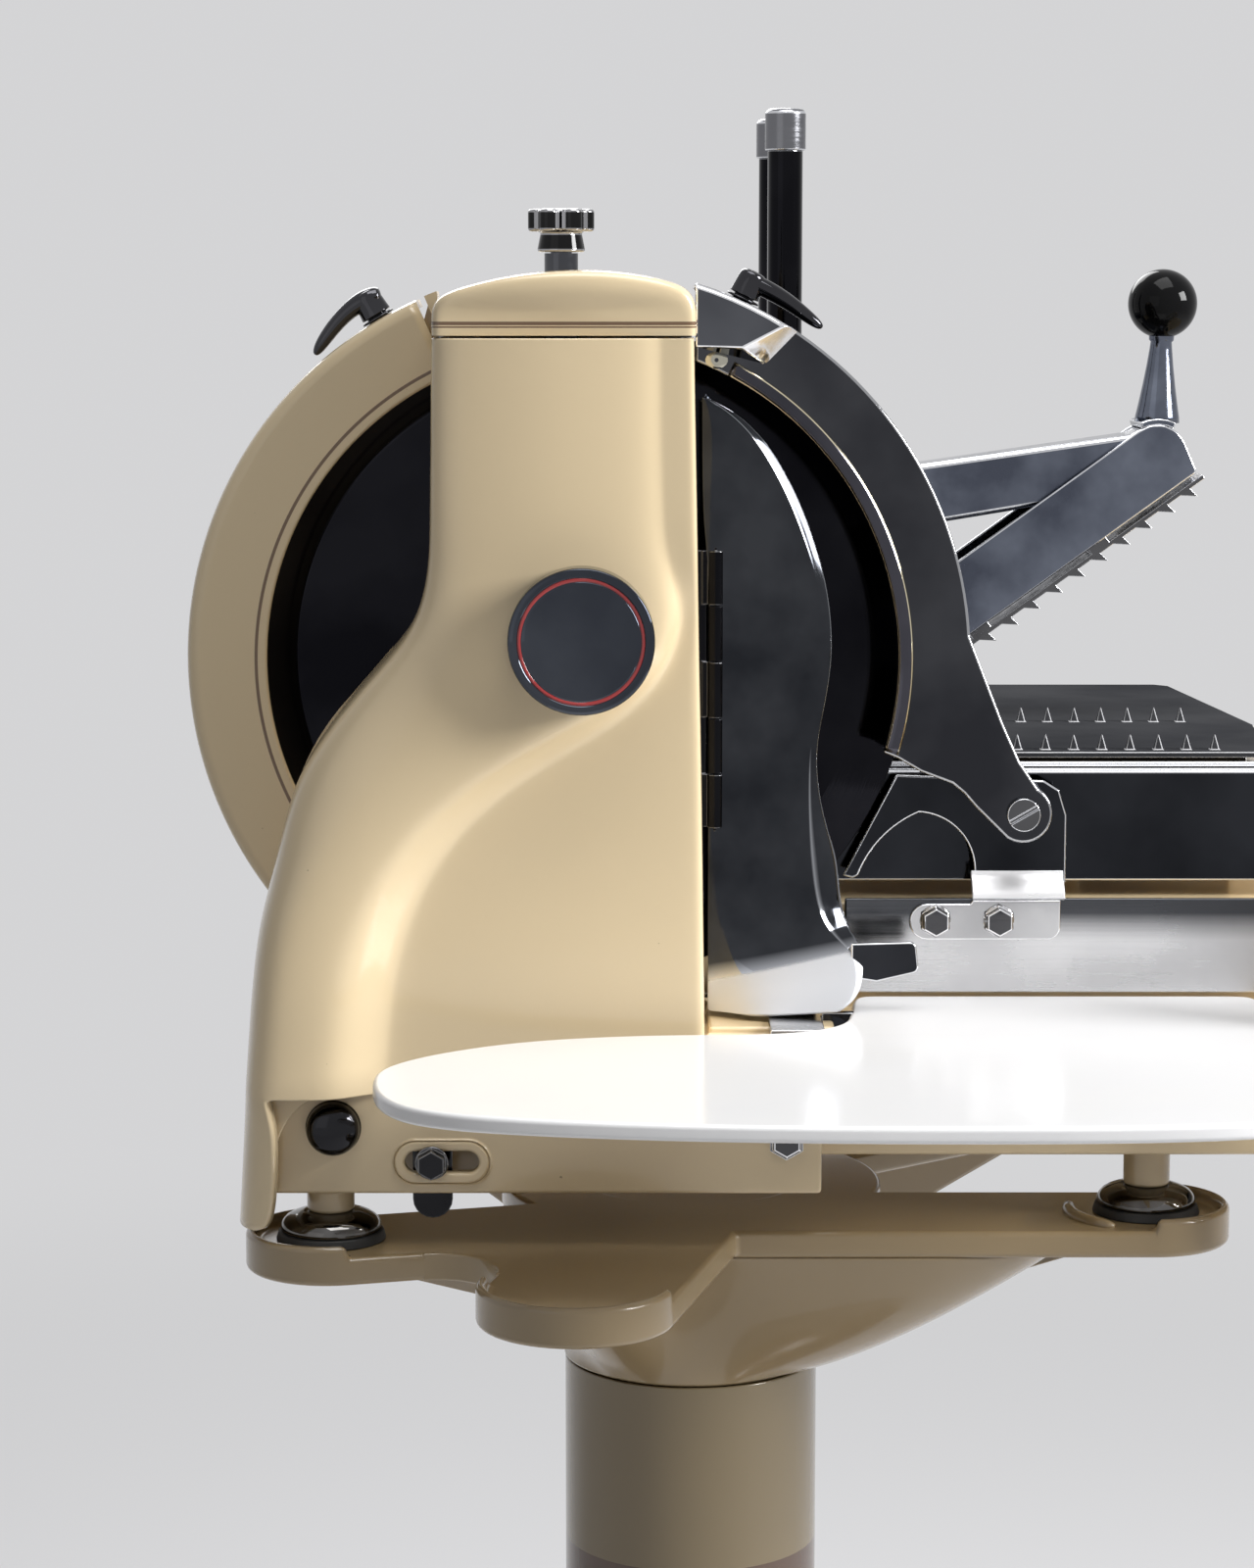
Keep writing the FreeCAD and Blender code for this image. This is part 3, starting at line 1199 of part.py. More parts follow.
for name, shape in parts.items():
    shape.exportStep("parts/" + name + ".step")
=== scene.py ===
import bmesh
import bpy
from math import atan2, cos, degrees, radians, sin
from mathutils import Matrix, Vector


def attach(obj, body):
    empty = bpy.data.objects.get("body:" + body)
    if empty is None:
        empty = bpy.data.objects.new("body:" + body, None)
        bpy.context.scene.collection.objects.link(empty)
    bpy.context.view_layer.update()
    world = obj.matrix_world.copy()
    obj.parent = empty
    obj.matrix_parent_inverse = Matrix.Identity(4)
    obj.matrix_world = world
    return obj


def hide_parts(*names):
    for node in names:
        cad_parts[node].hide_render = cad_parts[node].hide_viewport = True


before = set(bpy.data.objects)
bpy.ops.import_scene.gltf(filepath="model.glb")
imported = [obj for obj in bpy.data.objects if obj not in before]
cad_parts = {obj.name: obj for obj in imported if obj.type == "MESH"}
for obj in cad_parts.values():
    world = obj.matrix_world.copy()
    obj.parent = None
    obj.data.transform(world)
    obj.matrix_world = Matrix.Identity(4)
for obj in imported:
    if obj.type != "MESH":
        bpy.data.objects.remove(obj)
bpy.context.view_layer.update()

# The studio: one pale floor that runs out to a pale surround, a large soft lamp high in
# front on the right, a weaker one on the left, one above, and a strip behind that draws
# the edges.
bpy.context.scene.view_settings.view_transform = "Standard"
pale = (0.66, 0.66, 0.67, 1)
floor_radius = 30
fade_start, fade_end = 0.7, 3.4
lamp_aim = Vector((0.05, 0, 1.0))


def linked(name, data):
    """An object of the scene, made from its data."""
    made = bpy.data.objects.new(name, data)
    bpy.context.scene.collection.objects.link(made)
    return made


for name, spot, size, power in (
        ("key_lamp", (3.7, -1.28, 2.62), 1.6, 275), ("fill_lamp", (-1.6, -2.3, 1.7), 1.8, 2.5),
        ("rim_lamp", (-0.5, 2.3, 2.5), 1.5, 34), ("top_lamp", (0.25, -0.45, 3.2), 1.5, 33)):
    light = bpy.data.lights.new(name, "AREA")
    light.shape = "SQUARE"
    light.size = size
    light.energy = power
    lamp = linked(name, light)
    lamp.location = spot
    lamp.rotation_euler = (lamp_aim - Vector(spot)).to_track_quat("-Z", "Y").to_euler()


def node_in(tree, kind, fed=(), **settings):
    """A node with its settings; each socket takes a plain value or another node's output."""
    made = tree.nodes.new(kind if kind.startswith("NodeGroup") else "ShaderNode" + kind)
    for setting, value in settings.items():
        setattr(made, setting, value)
    for socket, value in dict(fed).items():
        if hasattr(value, "links"):
            tree.links.new(value, made.inputs[socket])
        else:
            made.inputs[socket].default_value = value
    return made


def math_in(operation, first, second):
    return node_in(first.id_data, "Math", {0: first, 1: second}, operation=operation).outputs[0]


def vector_in(operation, first, second=(0, 0, 0)):
    made = node_in(first.id_data, "VectorMath", {0: first, 1: second}, operation=operation)
    return made.outputs["Value" if operation == "LENGTH" else "Vector"]


def range_in(value, low, high, start=0.35, end=0.65):
    """Fits a value from start..end to low..high."""
    return node_in(value.id_data, "MapRange", {
        "Value": value, "From Min": start, "From Max": end, "To Min": low, "To Max": high}).outputs["Result"]


def object_place(tree):
    return node_in(tree, "TexCoord").outputs["Object"]


def surround_light(tree):
    """How strong the surround is: full to the camera, in gloss and through glass, less as light."""
    ray = node_in(tree, "LightPath").outputs
    shiny = math_in("MAXIMUM", ray["Is Camera Ray"], ray["Is Glossy Ray"])
    return range_in(math_in("MAXIMUM", shiny, ray["Is Transmission Ray"]), 0.17, 1.0, 0, 1)


surround = bpy.data.worlds.new("surround")
bpy.context.scene.world = surround
surround.use_nodes = True
surround_inputs = surround.node_tree.nodes["Background"].inputs
surround_inputs["Color"].default_value = pale
surround.node_tree.links.new(surround_light(surround.node_tree), surround_inputs["Strength"])

# The floor fades into the surround with its distance from the stand, so no horizon shows.
floor_cut = bmesh.new()
bmesh.ops.create_circle(floor_cut, cap_ends=True, segments=64, radius=floor_radius)
floor_mesh = bpy.data.meshes.new("floor")
floor_cut.to_mesh(floor_mesh)
floor = linked("floor", floor_mesh)
floor_paint = bpy.data.materials.new("floor_paint")
floor_paint.use_nodes = True
floor_tree = floor_paint.node_tree
floor_shader = floor_tree.nodes["Principled BSDF"]
floor_shader.inputs["Base Color"].default_value = pale
floor_shader.inputs["Roughness"].default_value = 0.9
floor_fade = node_in(floor_tree, "MapRange", {
    "Value": vector_in("LENGTH", object_place(floor_tree)), "From Min": fade_start, "From Max": fade_end},
    interpolation_type="SMOOTHSTEP")
floor_glow = node_in(floor_tree, "Emission", {"Color": pale, "Strength": surround_light(floor_tree)})
floor_blend = node_in(floor_tree, "MixShader", {
    "Fac": floor_fade.outputs["Result"], 1: floor_shader.outputs["BSDF"], 2: floor_glow.outputs["Emission"]})
floor_tree.links.new(floor_blend.outputs["Shader"], floor_tree.nodes["Material Output"].inputs["Surface"])
floor_mesh.materials.append(floor_paint)

view_camera = bpy.data.cameras.new("view_camera")
view_camera.lens = 85
view_camera.sensor_fit = "VERTICAL"
view_camera.sensor_height = 36
camera = linked("camera", view_camera)
camera.location = (-0.0346, -1.95, 1.271)
camera.rotation_euler = (radians(82.2), 0, 0)
bpy.context.scene.camera = camera

# The enamel on the castings: cream stove enamel, brushed flat and baked, with a slight ripple in its gloss and a
# faint warm clouding. The stand is painted a darker tan, its tone set below its paint as partly painted shade, and
# brown below.
cream_tone = (0.75, 0.605, 0.385, 1)
cream_deep = (0.69, 0.545, 0.33, 1)
chip_tone = (0.10, 0.065, 0.04, 1)
brown_tone = (0.105, 0.060, 0.038, 1)
stripe_tone = (0.16, 0.09, 0.045, 1)


def surface_group(name, inputs):
    """A node group that puts out a colour, a roughness and a normal, made from its inputs."""
    group = bpy.data.node_groups.new(name, "ShaderNodeTree")
    for socket, value in inputs.items():
        kind = {3: "Vector", 4: "Color"}[len(value)] if isinstance(value, tuple) else "Float"
        group.interface.new_socket(socket, in_out="INPUT", socket_type="NodeSocket" + kind).default_value = value
    for socket, kind in (("Base Color", "Color"), ("Roughness", "Float"), ("Normal", "Vector")):
        group.interface.new_socket(socket, in_out="OUTPUT", socket_type="NodeSocket" + kind)
    return group, node_in(group, "NodeGroupInput").outputs, object_place(group)


def put_out(group, colour, roughness, normal):
    node_in(group, "NodeGroupOutput", {"Base Color": colour, "Roughness": roughness, "Normal": normal})


def noise_in(place, scale, detail=3):
    return node_in(place.id_data, "TexNoise", {"Vector": place, "Scale": scale, "Detail": detail}).outputs["Fac"]


def mix_in(share, first, second):
    return node_in(share.id_data, "Mix", {0: share, 6: first, 7: second}, data_type="RGBA").outputs[2]


def bump_in(height, strength, distance=0.001):
    return node_in(height.id_data, "Bump", {
        "Height": height, "Strength": strength, "Distance": distance}).outputs["Normal"]


enamel_group, enamel_in, enamel_place = surface_group("enamel_surface", {
    "Tone": cream_tone, "Deep Tone": cream_deep, "Gloss": 0.22})
clouding = range_in(noise_in(enamel_place, 3.2, 1), 0.0, 0.6, 0.2, 0.8)
clouded = mix_in(clouding, enamel_in["Tone"], enamel_in["Deep Tone"])
chips = range_in(noise_in(enamel_place, 210, 2), 0.0, 0.6, 0.80, 0.82)
duller = math_in("MULTIPLY", enamel_in["Gloss"], 1.12)
put_out(enamel_group, mix_in(chips, clouded, chip_tone),
        range_in(noise_in(enamel_place, 9, 2), enamel_in["Gloss"], duller, 0.2, 0.8),
        bump_in(noise_in(enamel_place, 150, 1), 0.035))


def finish(name, group, values, plain):
    """A finish with its own numbers: one shader that reads its colour, gloss and relief from a group."""
    material = bpy.data.materials.new(name)
    material.use_nodes = True
    tree = material.node_tree
    shader = tree.nodes["Principled BSDF"]
    for output in node_in(tree, "Group", values, node_tree=group).outputs:
        tree.links.new(output, shader.inputs[output.name])
    for socket, value in plain.items():
        shader.inputs[socket].default_value = value
    return material


def enamel(name, tone=cream_tone, deep=cream_deep):
    return finish(name, enamel_group, {"Tone": tone, "Deep Tone": deep}, {"Coat Weight": 0.5, "Coat Roughness": 0.06})


def band_between(material, measured, low, high, colour):
    """Paints a band where a measured distance lies between two values."""
    tree = material.node_tree
    base = tree.nodes["Principled BSDF"].inputs["Base Color"]
    inside = math_in("MULTIPLY", math_in("GREATER_THAN", measured, low), math_in("LESS_THAN", measured, high))
    tree.links.new(mix_in(inside, base.links[0].from_socket, colour), base)


def height_in(material):
    tree = material.node_tree
    return node_in(tree, "SeparateXYZ", {0: object_place(tree)}).outputs["Z"]


cream_enamel = enamel("cream_enamel")
# the stand's tone is set below its tan paint, partly painted shade
shaded_stand_enamel = enamel("shaded_stand_enamel", (0.33, 0.243, 0.13, 1), (0.285, 0.207, 0.107, 1))
brown_enamel = enamel("brown_enamel", brown_tone, (0.07, 0.04, 0.026, 1))


# The base of the stand: a heavy cast iron bell, painted brown, bolted down through its
# rim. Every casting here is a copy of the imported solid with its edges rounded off, as
# fettling and enamel leave them.
pad_height = 790
weld, fine_weld = 0.00002, 0.00001
flat_turn = 0.6
base_edge = 0.003
flat_weight = 60


def packed_copy(node):
    """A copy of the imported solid's shape, its loose triangles joined."""
    shape = bmesh.new()
    shape.from_mesh(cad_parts[node].data)
    bmesh.ops.remove_doubles(shape, verts=shape.verts, dist=weld)
    return shape


def flattened(shape):
    """Joins the triangles of each flat face."""
    bmesh.ops.dissolve_limit(shape, angle_limit=radians(flat_turn), verts=shape.verts, edges=shape.edges)
    return shape


def outward(shape):
    bmesh.ops.recalc_face_normals(shape, faces=shape.faces)
    return shape


def frontward(shape):
    """Turns an open skin's normals to the front."""
    outward(shape)
    if sum(f.normal.y for f in shape.faces) > 0:
        bmesh.ops.reverse_faces(shape, faces=shape.faces)
    return shape


def verts_of(geometry):
    return [v for v in geometry if isinstance(v, bmesh.types.BMVert)]


def extruded(shape, faces, step):
    """Draws faces out by a step."""
    drawn = bmesh.ops.extrude_face_region(shape, geom=faces)["geom"]
    bmesh.ops.translate(shape, vec=step, verts=verts_of(drawn))


def drawn_out(points, step):
    """A solid with this end face, drawn out by a step."""
    shape = bmesh.new()
    extruded(shape, [shape.faces.new([shape.verts.new(point) for point in points])], step)
    return outward(shape)


def round_over(shape, width, steps=2, sharp=28):
    """Rounds the sharp edges and marks them for a painted highlight, for the finish to read."""
    painted_highlight = shape.loops.layers.float.new("painted_highlight")
    edges = [e for e in shape.edges if len(e.link_faces) == 2 and e.calc_face_angle(0) > radians(sharp)]
    if width:
        rounded = bmesh.ops.bevel(shape, geom=edges, offset=width, offset_type="OFFSET", segments=steps,
                                  profile=0.5, affect="EDGES", material=-1, clamp_overlap=False)
        for corner in [corner for face in rounded["faces"] for corner in face.loops]:
            corner[painted_highlight] = 1
    return shape


def set_down(name, shape, body, slot, material, *nodes, level=True):
    """Makes the piece, lets it ride on its body in place of the plain solids, and finishes it.

    A level piece keeps its flat faces flat beside rounded edges."""
    mesh = bpy.data.meshes.new(name)
    shape.to_mesh(mesh)
    shape.free()
    mesh.shade_smooth()
    mesh.materials.append(material)
    piece = linked(name, mesh)
    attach(piece, body)
    if nodes:
        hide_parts(*nodes)
    if level:
        weighted = piece.modifiers.new("level_faces", "WEIGHTED_NORMAL")
        weighted.mode = "FACE_AREA"
        weighted.weight = flat_weight
    return piece


def softened(piece, levels, wall=0):
    """Smooths a piece made of few points, and gives an open skin its wall."""
    smooth = piece.modifiers.new("smooth", "SUBSURF")
    smooth.levels = smooth.render_levels = levels
    if wall:
        gauge = piece.modifiers.new("wall", "SOLIDIFY")
        gauge.thickness = wall
        gauge.offset = -1


def fettled(node, width, body, slot, material, steps=2, sharp=28):
    shape = round_over(flattened(packed_copy(node)), width, steps, sharp)
    set_down(node + "_finished", shape, body, slot, material, node)


def refinished(node, material):
    """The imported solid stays, with this finish."""
    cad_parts[node].data.materials.clear()
    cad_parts[node].data.materials.append(material)


fettled("pedestal_base", base_edge, "stand", "stand_paint", brown_enamel)

# The column: a drawn steel tube in the stand's paint, set darker than the head as painted shade, brown below a line
# that was masked by hand all round. It is pressed into the base and the head.
paint_line = 0.593
# the upper column's tone is a darker copy of the stand's paint, a painted shade
shaded_column_enamel = enamel("shaded_column_enamel", (0.23, 0.176, 0.098, 1), (0.195, 0.148, 0.08, 1))
band_between(shaded_column_enamel, height_in(shaded_column_enamel), 0, paint_line, brown_tone)
fettled("pedestal_column", 0.001, "stand", "stand_paint", shaded_column_enamel)

# The head of the stand: a cast spider with a rimmed pad for each foot and an empty rimmed
# lobe in front, swept in below its arms to the collar, with a lid on its bore.
head_edge = 0.003
collar_r = 68.9
seam_height = 694.5
blend_rise = 81
# how far the soft blend below the arms reaches in each direction, and how straight it runs
bell_reach = [
    (-172, 92, 1.8), (-160, 118, 1.6), (-148, 142, 1.5), (-136, 148, 1.3), (-126, 150, 1.0), (-116, 146, 0.95),
    (-106, 130, 1.1), (-96, 117, 1.3), (-84, 115.5, 1.2), (-72, 121, 0.95), (-60, 133, 0.8), (-48, 156, 0.72),
    (-38, 188, 0.72), (-30, 212, 0.76), (-24, 212, 0.8), (-19, 200, 0.82), (-14, 165, 0.95), (-6, 110, 1.3)]
# the ribs of the copy are pulled in below the blend
head = round_over(flattened(packed_copy("pedestal_head")), head_edge, 3)
for v in head.verts:
    heading = degrees(atan2(v.co.y, v.co.x))
    share = (v.co.z * 1000 - seam_height) / blend_rise
    if -158 < heading < -14 and 0 < share < 0.985:
        near, far = next(pair for pair in zip(bell_reach, bell_reach[1:]) if heading < pair[1][0])
        blend = (heading - near[0]) / (far[0] - near[0])
        reach = near[1] + (far[1] - near[1]) * blend
        bend = near[2] + (far[2] - near[2]) * blend
        limit = (collar_r + 0.55 * (reach - collar_r) * share ** bend) / 1000
        if v.co.xy.length > limit:
            v.co.xy *= limit / v.co.xy.length
set_down("pedestal_head_finished", head, "stand", "stand_paint", shaded_stand_enamel, "pedestal_head")
# a fillet in the corner between the left arm and the lobe
fillet_r = 30
corner = Vector((-86, -145.6))
along_arm, along_lobe = Vector((-0.964, -0.266)), Vector((-0.254, -0.967))
bisector = (along_arm + along_lobe).normalized()
arc_middle = corner + 60 * bisector
arc_ends = [corner + 52 * along_arm, corner + 52 * along_lobe]
fillet_line = [
    arc_middle + fillet_r * ((arc_ends[0] - arc_middle) * (8 - k) + (arc_ends[1] - arc_middle) * k).normalized()
    for k in range(9)]
fillet_line += [arc_ends[1] + Vector((4.8, -1.3)), corner - 8 * bisector, arc_ends[0] + Vector((-1.3, 4.8))]
fillet = drawn_out([(v.x / 1000, v.y / 1000, 0.776) for v in fillet_line], (0, 0, 0.01405))
set_down("head_fillet", round_over(fillet, 0.0015, 3, 50), "stand", "stand_paint", shaded_stand_enamel)
lid = bmesh.new()
bmesh.ops.create_circle(lid, cap_ends=True, segments=64, radius=0.068, matrix=Matrix.Translation((0, 0, 0.7897)))
set_down("head_lid", lid, "stand", "stand_paint", shaded_stand_enamel, level=False)
bell = bmesh.new()
bell_steps = []
for angle, reach, bend in bell_reach:
    side = Vector((cos(radians(angle)), sin(radians(angle)), 0)) / 1000
    points = [bell.verts.new(
        side * (collar_r + (reach - collar_r) * share ** bend)
        + Vector((0, 0, (seam_height + blend_rise * share) / 1000)))
        for share in (0, 0.04, 0.12, 0.25, 0.4, 0.55, 0.7, 0.85, 0.95, 1)]
    bell_steps.append([bell.edges.new(pair) for pair in zip(points, points[1:])])
for near, far in zip(bell_steps, bell_steps[1:]):
    bmesh.ops.bridge_loops(bell, edges=near + far)
softened(set_down("head_blend", frontward(bell), "stand", "stand_paint", shaded_stand_enamel, level=False), 2, 0.003)

# Bright steel: ground, then buffed on a wheel until it mirrors, with hairlines left along the grain, and smears and
# fine scratches from years of wiping. Most steels below have tones set far darker than steel is, a painted dark
# reflection, and their rounded edges are painted light, a painted highlight.
bright_tone = (0.12, 0.123, 0.133, 1)
bright_deep = (0.06, 0.062, 0.07, 1)
metal = {"Metallic": 1.0}
steel_group, steel_in, steel_place = surface_group("steel_surface", {
    "Tone": bright_tone, "Deep Tone": bright_deep, "Gloss": 0.07, "Smears": 0.2, "Hairlines": 0.05,
    "Grain": (30, 30, 900), "Edge Highlight Tone": (0.72, 0.73, 0.76, 1), "Smear Size": 11.0})
hairlines = noise_in(vector_in("MULTIPLY", steel_place, steel_in["Grain"]), 1, 4)
smears = noise_in(steel_place, steel_in["Smear Size"], 4)
steel_mix = mix_in(range_in(smears, 0.0, 1.0), steel_in["Tone"], steel_in["Deep Tone"])
# the edges marked by round_over take a light tone, a painted highlight
edge_highlight_share = node_in(steel_group, "Attribute", attribute_name="painted_highlight").outputs["Fac"]
hairline_gloss = range_in(hairlines, steel_in["Gloss"], steel_in["Smears"])
put_out(steel_group, mix_in(edge_highlight_share, steel_mix, steel_in["Edge Highlight Tone"]),
        math_in("MULTIPLY", range_in(smears, 0.3, 1.0), hairline_gloss),
        bump_in(hairlines, steel_in["Hairlines"], 0.0004))


def steel(name, tone, deep, gloss, smears, hairlines=0.05, grain=(30, 30, 900), edge_highlight=(0.72, 0.73, 0.76),
          smear_size=11, plain=metal):
    """A steel in its own tones, with its gloss, the smears and hairlines in it, and its edges painted light as a
    painted highlight.
    """
    return finish(name, steel_group, {
        "Tone": (*tone, 1), "Deep Tone": (*deep, 1), "Gloss": gloss, "Smears": smears, "Hairlines": hairlines,
        "Grain": grain, "Edge Highlight Tone": (*edge_highlight, 1), "Smear Size": smear_size}, plain)


polished_steel = finish("polished_steel", steel_group, {}, metal)
chrome = steel("chrome", (0.16, 0.16, 0.165), (0.10, 0.10, 0.105), 0.03, 0.1, 0.0)
plain_steel = steel("plain_steel", (0.16, 0.16, 0.165), (0.10, 0.10, 0.105), 0.2, 0.4, 0.1, (200, 200, 200))

# The feet: a polished dome screwed on each stem, standing on a rubber ring that keeps it
# from sliding on its pad.
cast_group, cast_in, cast_place = surface_group("cast_surface", {
    "Tone": (0.03, 0.03, 0.03, 1), "Deep Tone": (0.02, 0.02, 0.02, 1), "Gloss": 0.5, "Grit": 0.3,
    "Grain Size": 500.0})
grit = noise_in(cast_place, cast_in["Grain Size"], 3)
stain = noise_in(cast_place, 24, 5)
rougher = math_in("MULTIPLY", cast_in["Gloss"], 1.4)
put_out(cast_group, mix_in(range_in(stain, 0, 1), cast_in["Tone"], cast_in["Deep Tone"]),
        range_in(stain, cast_in["Gloss"], rougher), bump_in(grit, cast_in["Grit"], 0.0005))


def cast(name, tone, deep, gloss=0.5, grit=0.3, grain=500, plain=()):
    """Cast metal, rubber, stone or plastic in its own tones."""
    return finish(name, cast_group, {
        "Tone": (*tone, 1), "Deep Tone": (*deep, 1), "Gloss": gloss, "Grit": grit, "Grain Size": grain}, dict(plain))


black_rubber = cast("black_rubber", (0.012, 0.012, 0.012), (0.02, 0.019, 0.018))
feet_centres = [(-184, -128), (235, -74), (-184, 222), (235, 222)]
# the height and radius of each turn of a dome
dome_profile = [(5, 24.6), (5.3, 25.3), (6.4, 25.5), (8, 25.2), (9.8, 24.3), (11.5, 22.7), (12.9, 20.4), (14, 17.4),
                (14.7, 14.6), (15, 12.4)]
dome_chrome = steel("dome_chrome", (0.17, 0.165, 0.16), (0.08, 0.075, 0.07), 0.04, 0.2, 0.0, smear_size=40)


def place(x, y, lift):
    """A point in millimetres, its height measured from the pads of the stand."""
    return Vector((x, y, lift + pad_height)) / 1000


def limb(shape, stations, sides=16):
    """Adds a limb through round sections, each with its middle, its two radii and its direction."""
    hoops = []
    for middle, wide, thick, heading in stations:
        turn = Vector(heading).to_track_quat("Z", "Y").to_matrix().to_4x4()
        seat = Matrix.Translation(middle) @ turn @ Matrix.Diagonal((thick / 1000, wide / 1000, 1, 1))
        hoop = bmesh.ops.create_circle(shape, cap_ends=False, segments=sides, radius=1, matrix=seat)["verts"]
        hoops.append(list({e for v in hoop for e in v.link_edges}))
    for near, far in zip(hoops, hoops[1:]):
        bmesh.ops.bridge_loops(shape, edges=near + far)
    for end in (hoops[0], hoops[-1]):
        bmesh.ops.contextual_create(shape, geom=end)


domes = bmesh.new()
for x, y in feet_centres:
    limb(domes, [(place(x, y, lift), r, r, (0, 0, 1)) for lift, r in dome_profile], 64)
set_down("polished_domes", outward(domes), "stand", "chrome", dome_chrome, "foot_domes")
fettled("foot_rings", 0.0008, "stand", "rubber", black_rubber)
pad_stop = bmesh.new()
limb(pad_stop, [
    (place(235 + 40 * cos(radians(a)), -74 + 40 * sin(radians(a)), 0.6), r, r, (-sin(radians(a)), cos(radians(a)), 0))
    for a, r in ((163, 1.5), (168, 3), (180, 3.4), (195, 3.4), (210, 3.4), (225, 3.4), (234, 3), (239, 1.5))], 16)
set_down("pad_stop", outward(pad_stop), "stand", "stand_paint", shaded_stand_enamel, level=False)

# The bed: one iron casting with a deep toe in front, a gear case at its right end and the
# stems of the feet, enamelled cream. A cove fills the corner between its leg and the toe.
fettled("bed", 0.0018, "stand", "cream", cream_enamel, 3)
cove_bow = [(-179.5 + 30 * cos(radians(a)), 45 + 34 * sin(radians(a))) for a in range(90, 181, 6)]
cove_line = [(-217, 84), (-179.5, 84), *cove_bow, (-217, 45)]
cove = drawn_out([place(x, -151, lift) for x, lift in cove_line], (0, 0.012, 0))
set_down("toe_cove", round_over(cove, 0.0008, 2, 60), "stand", "cream", cream_enamel)

# The works in the bed: two steel rods for the carriage, plain bearings, the main shaft
# with its pinion and crown wheel, the connecting rod, and the chains, all black with oil.
oily_iron = cast("oily_iron", (0.09, 0.088, 0.085), (0.05, 0.045, 0.04), 0.34, 0.25, plain={"Metallic": 0.85})
bearing_bronze = cast("bearing_bronze", (0.48, 0.30, 0.11), (0.33, 0.19, 0.07), 0.26, 0.1, plain=metal)
for node in ("slide_rods", "main_shaft", "knife_shaft", "idler_shaft", "sharpener_stem", "feed_screw"):
    refinished(node, polished_steel)
for node in ("drive_pinion", "crown_wheel", "upper_chain", "lower_chain", "drive_sprocket", "idler_sprockets",
             "knife_sprocket"):
    refinished(node, oily_iron)
refinished("shaft_bearings", bearing_bronze)
fettled("connecting_rod", 0.0008, "rod", "iron", oily_iron)

# The hand wheel: a cast flywheel, enamelled like the bed, with a turned black grip that
# runs free on its pin.
hard_rubber = cast("hard_rubber", (0.003, 0.003, 0.0035), (0.005, 0.005, 0.005), 0.06, 0.02, 260,
    {"Specular IOR Level": 0.12})
fettled("flywheel", 0.0018, "hand_wheel", "cream", cream_enamel)
fettled("grip_pin", 0.0006, "hand_wheel", "polished", polished_steel)
fettled("crank_grip", 0.0015, "grip", "black_knobs", hard_rubber, 3)

# The casing in front of the knife: a hollow casting whose front is a proud band, running
# down the neck and away into the left leg, round a sunk panel. It was pulled from its
# mould with every edge soft, and screwed on from behind.
band_face = -165.0
panel_sink = 19.0
casing_rear = -70.0
# left edge, edge of the sunk panel and right edge of each row, its share of the sink, and
# the softness of its left edge
casing_rows = [
    ((-129.4, 451.7), (-22, 451.7), (-2.0, 451.7), 0, 5),
    ((-129.6, 445), (-22, 445), (-1.9, 445), 0, 5),
    ((-130.2, 412), (-22, 412), (-1.3, 412), 0, 5),
    ((-130.8, 374), (-21, 376), (-0.6, 378), 0, 5),
    ((-131.2, 346), (-20, 352), (-0.2, 356), 0, 6),
    ((-134.5, 325), (-15, 334), (0.1, 340), 0.12, 7),
    ((-142.5, 307), (-11, 316), (0.5, 323), 0.75, 9),
    ((-157.5, 290), (-17, 297), (0.9, 304), 1, 11),
    ((-175.5, 269.5), (-31, 279), (1.3, 284), 1, 12),
    ((-190, 250), (-58, 262.5), (1.8, 263), 1, 13),
    ((-200, 231), (-92, 245), (2.2, 242), 1, 14),
    ((-206.5, 206), (-124, 221.5), (2.6, 219), 1, 14),
    ((-212.5, 182), (-146, 196), (3.0, 194), 1, 15),
    ((-218.5, 160), (-160.5, 166), (3.4, 166), 1, 15),
    ((-222, 130), (-168.5, 133), (3.9, 133), 1, 15),
    ((-224.3, 100), (-171.5, 100), (4.3, 100), 1, 15),
    ((-225.4, 84), (-173, 84), (4.6, 84), 1, 14),
    ((-225.7, 79), (-173.3, 79), (4.6, 79), 1, 14)]


def toward(start, goal, distance):
    step = Vector(goal) - Vector(start)
    return Vector(start) + step * min(1, distance / step.length)


def rails_joined(rails):
    """A skin over rails that all have the same number of points."""
    skin = bmesh.new()
    chains = []
    for rail in rails:
        points = [skin.verts.new(p) for p in rail]
        chains.append([skin.edges.new(pair) for pair in zip(points, points[1:])])
    for near, far in zip(chains, chains[1:]):
        bmesh.ops.bridge_loops(skin, edges=near + far)
    return skin


